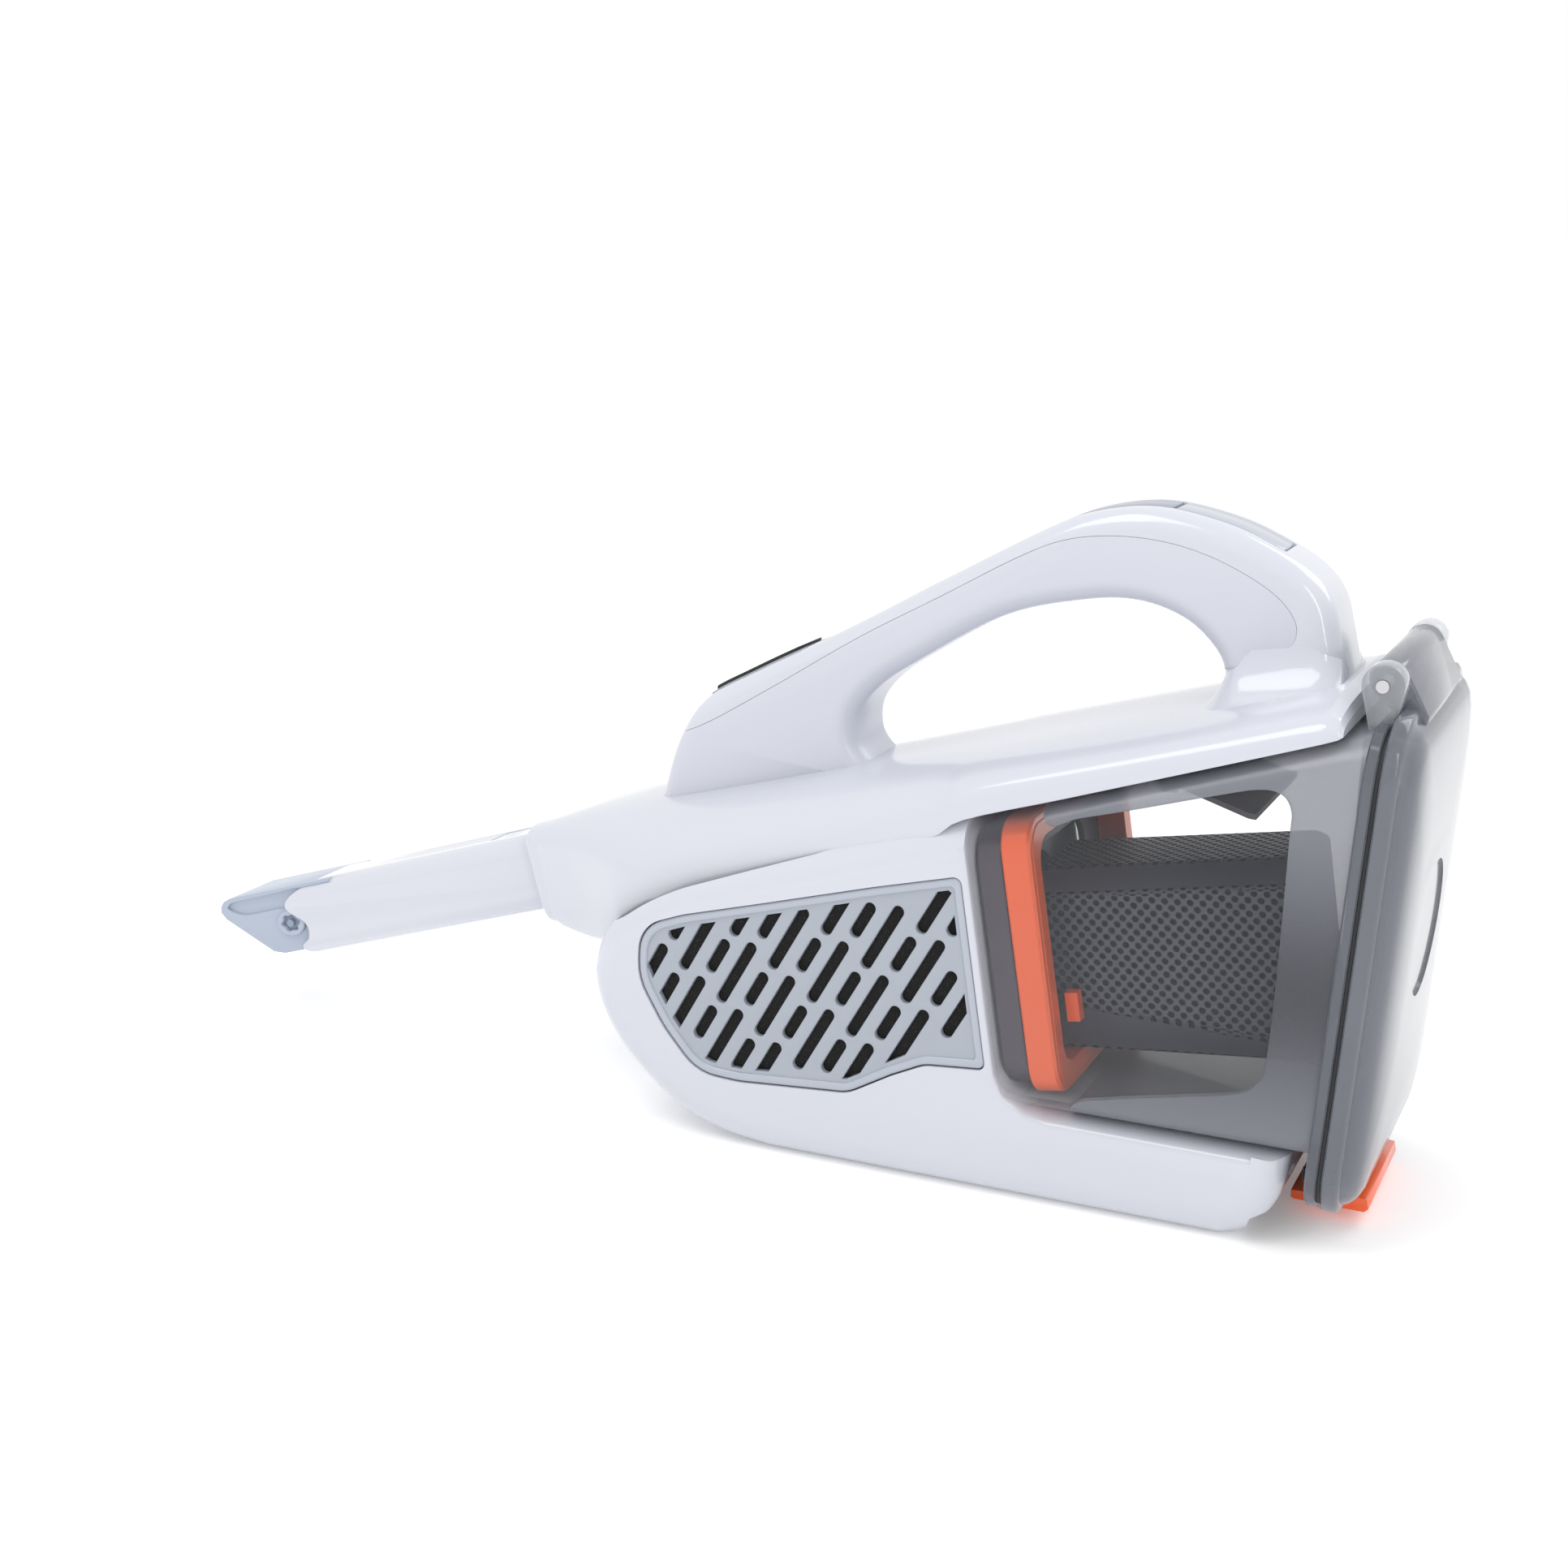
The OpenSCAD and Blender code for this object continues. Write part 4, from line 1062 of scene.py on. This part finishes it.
ring_edge = (10.5, 46, -39, 39, 9)
ring_rings = [
    ring_edge, (10.5, 54.6, -47.1, 47.1, 10.6), (11.1, 55, -47.5, 47.5, 11), (19.4, 55, -47.5, 47.5, 11),
    (20.4, 54.2, -46.7, 46.7, 10.4), (20.4, 52.6, -45, 45, 9.6), (20.7, 52.2, -44.6, 44.6, 9.2),
    (20.7, 46.4, -39.4, 39.4, 9), (20.2, 46, -39, 39, 9), ring_edge]
filter_ring = loft("filter_ring_band", [framed_ring(CORE, *r) for r in ring_rings], ORANGE, caps=False)
place(filter_ring, "filter", "orange_plastic", "filter_ring")


def screen_end(half, low, mid_low, mid_high, high):
    """Eight-sided outline, in the order: lower left, bottom, right, top, left."""
    return [(-half, mid_low), (-half + 7, low), (half - 7, low), (half, mid_low), (half, mid_high),
            (half - 16, high), (16 - half, high), (-half, mid_high)]


def perforated_screen():
    """Tapered box of perforated and plain faces, laid out on the UV map at true size."""
    near_u, away_u = 10.6, 97.8
    near = screen_end(35, -38, -18, 17.5, 23)
    away = screen_end(33, -43.5, -36, 18, 24)
    plain_faces = (0, 2, 4, 6)
    # Strips lie side by side on the UV map with a gap, and the end face lies apart from them
    length, gap, apart = 87, 2.2, 200
    verts, faces, uvs = [], [], []
    run = 0.0
    for i in range(8):
        j = (i + 1) % 8
        width = math.dist(near[i], near[j])
        first = len(verts)
        verts += [CORE(near_u, *near[i]), CORE(near_u, *near[j]),
                  CORE(away_u, *away[j]), CORE(away_u, *away[i])]
        faces.append(tuple(range(first, first + 4)))
        off = (width - math.dist(away[i], away[j])) / 2
        uvs.append([(0, run), (0, run + width), (length, run + width - off), (length, run + off)])
        run += width + gap
    first = len(verts)
    verts += [CORE(away_u, *q) for q in away]
    faces.append(tuple(range(first, first + 8)))
    uvs.append([(q[0] + apart, q[1] + apart) for q in away])
    me = bpy.data.meshes.new("prefilter")
    me.from_pydata([Vector(v) * MM for v in verts], [], faces)
    lay = me.uv_layers.new(name="lay")
    for i, (face, corners) in enumerate(zip(me.polygons, uvs)):
        face.material_index = int(i in plain_faces)
        for loop, uv in zip(face.loop_indices, corners):
            lay.data[loop].uv = (uv[0] * MM, uv[1] * MM)
    weld(me, 1.6)
    ob = new_object("prefilter", me)
    me.materials.append(SCREEN)
    me.materials.append(SCREEN_EDGE)
    dress(ob, 50)
    return ob


place(perforated_screen(), "filter", "screen_grey", "prefilter_screen")


# ---------------------------------------------------------------- latch

latch_half = 25.9
latch_line = [(93.2, 5.2), (94.2, 4.7), (117.2, 4.4), (118.6, 5.6), (118.0, 9.0), (113.6, 9.4), (112, 7.7),
              (93.2, 7.9)]
latch = prism("latch_body", latch_line, -latch_half, latch_half, LATCH)
boolean(latch, [loft("barrel", [y_disc(LATCH_AT, 3, y) for y in (-latch_half, latch_half)], None)], "UNION")
boolean(latch, [loft("bore", [y_disc(LATCH_AT, 1.6, y) for y in (-30, 30)], None)])
soften(latch, 0.5, 2, 40)
place(latch, "latch", "orange_plastic", "door_latch")


# ---------------------------------------------------------------- finishes of the carried-over CAD pieces

looks = {
    "power_switch": BLACK, "button_spring": STEEL, "indicator_board": BOARD,
    "exhaust_foam_left": FOAM, "exhaust_foam_right": FOAM,
    "fan_shroud": BLACK, "impeller": BLACK, "motor_shaft": STEEL, "motor_can": MOTOR,
    "motor_windings": COPPER, "motor_mount": RUBBER, "motor_leads": WIRE, "control_board": BOARD,
    "inlet_duct": BLACK, "neck_seal": RUBBER, "bin_seal": RUBBER,
    "battery_cells": CELL, "cell_tray": BLACK, "cell_strips": NICKEL,
    "foot_pads": RUBBER, "charging_socket": BLACK, "housing_screws": STEEL,
    "tool_button_spring": STEEL, "tip_pin": TIP_DEEP,
    "door_hinge_pin": STEEL, "latch_pin": STEEL, "latch_spring": STEEL,
    "flap_pivots": PURPLE, "inlet_flap": PURPLE, "pleated_filter": PAPER, "filter_tab": LATCH,
}
for node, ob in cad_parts.items():
    if not ob.hide_render:
        ob.data.materials.clear()
        ob.data.materials.append(looks[node])


# ---------------------------------------------------------------- stage, camera and light

floor_mesh = bpy.data.meshes.new("floor")
reach = 30.0
floor_mesh.from_pydata([(-reach, -reach, 0), (reach, -reach, 0), (reach, reach, 0), (-reach, reach, 0)], [],
                       [(0, 1, 2, 3)])
floor = new_object("floor", floor_mesh)
floor_look = plastic("floor_white", (0.9, 0.9, 0.9), 0.9)
floor_shader = floor_look.node_tree.nodes["Principled BSDF"]
floor_shader.inputs["Emission Color"].default_value = (1, 1, 1, 1)
floor_shader.inputs["Emission Strength"].default_value = 0.16
floor_mesh.materials.append(floor_look)
floor.location.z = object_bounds()[0].z - 0.0002


def aim(ob, at, target):
    ob.location = at
    ob.rotation_mode = "QUATERNION"
    ob.rotation_quaternion = (Vector(target) - ob.location).to_track_quat("-Z", "Y")


cam_data = bpy.data.cameras.new("camera")
cam_data.lens = 50
cam_data.sensor_width = 36
cam = new_object("camera", cam_data)
aim(cam, (0.2220, -0.7013, 0.3221), (-0.105, 0, 0.1191))
bpy.context.scene.camera = cam


def area_light(name, at, target, size, size_y, power, color=(1, 1, 1)):
    data = bpy.data.lights.new(name, "AREA")
    data.shape = "RECTANGLE"
    data.size = size
    data.size_y = size_y
    data.energy = power
    data.color = color
    ob = new_object(name, data)
    aim(ob, at, target)


area_light("key", (-0.5, -0.5, 1.5), (-0.05, 0, 0.1), 0.9, 0.9, 8)
area_light("rim", (0.7, 0.9, 1.0), (0, 0, 0.12), 0.8, 0.8, 5, (0.96, 0.97, 1))
area_light("strip", (0.9, -0.8, 0.6), (0.1, 0, 0.1), 0.15, 0.9, 2.2)

world = bpy.data.worlds.new("world")
bpy.context.scene.world = world
world.use_nodes = True
world.node_tree.nodes["Background"].inputs["Color"].default_value = (1.0, 1.0, 1.0, 1)
world.node_tree.nodes["Background"].inputs["Strength"].default_value = 1.0
bpy.context.scene.view_settings.view_transform = "Standard"
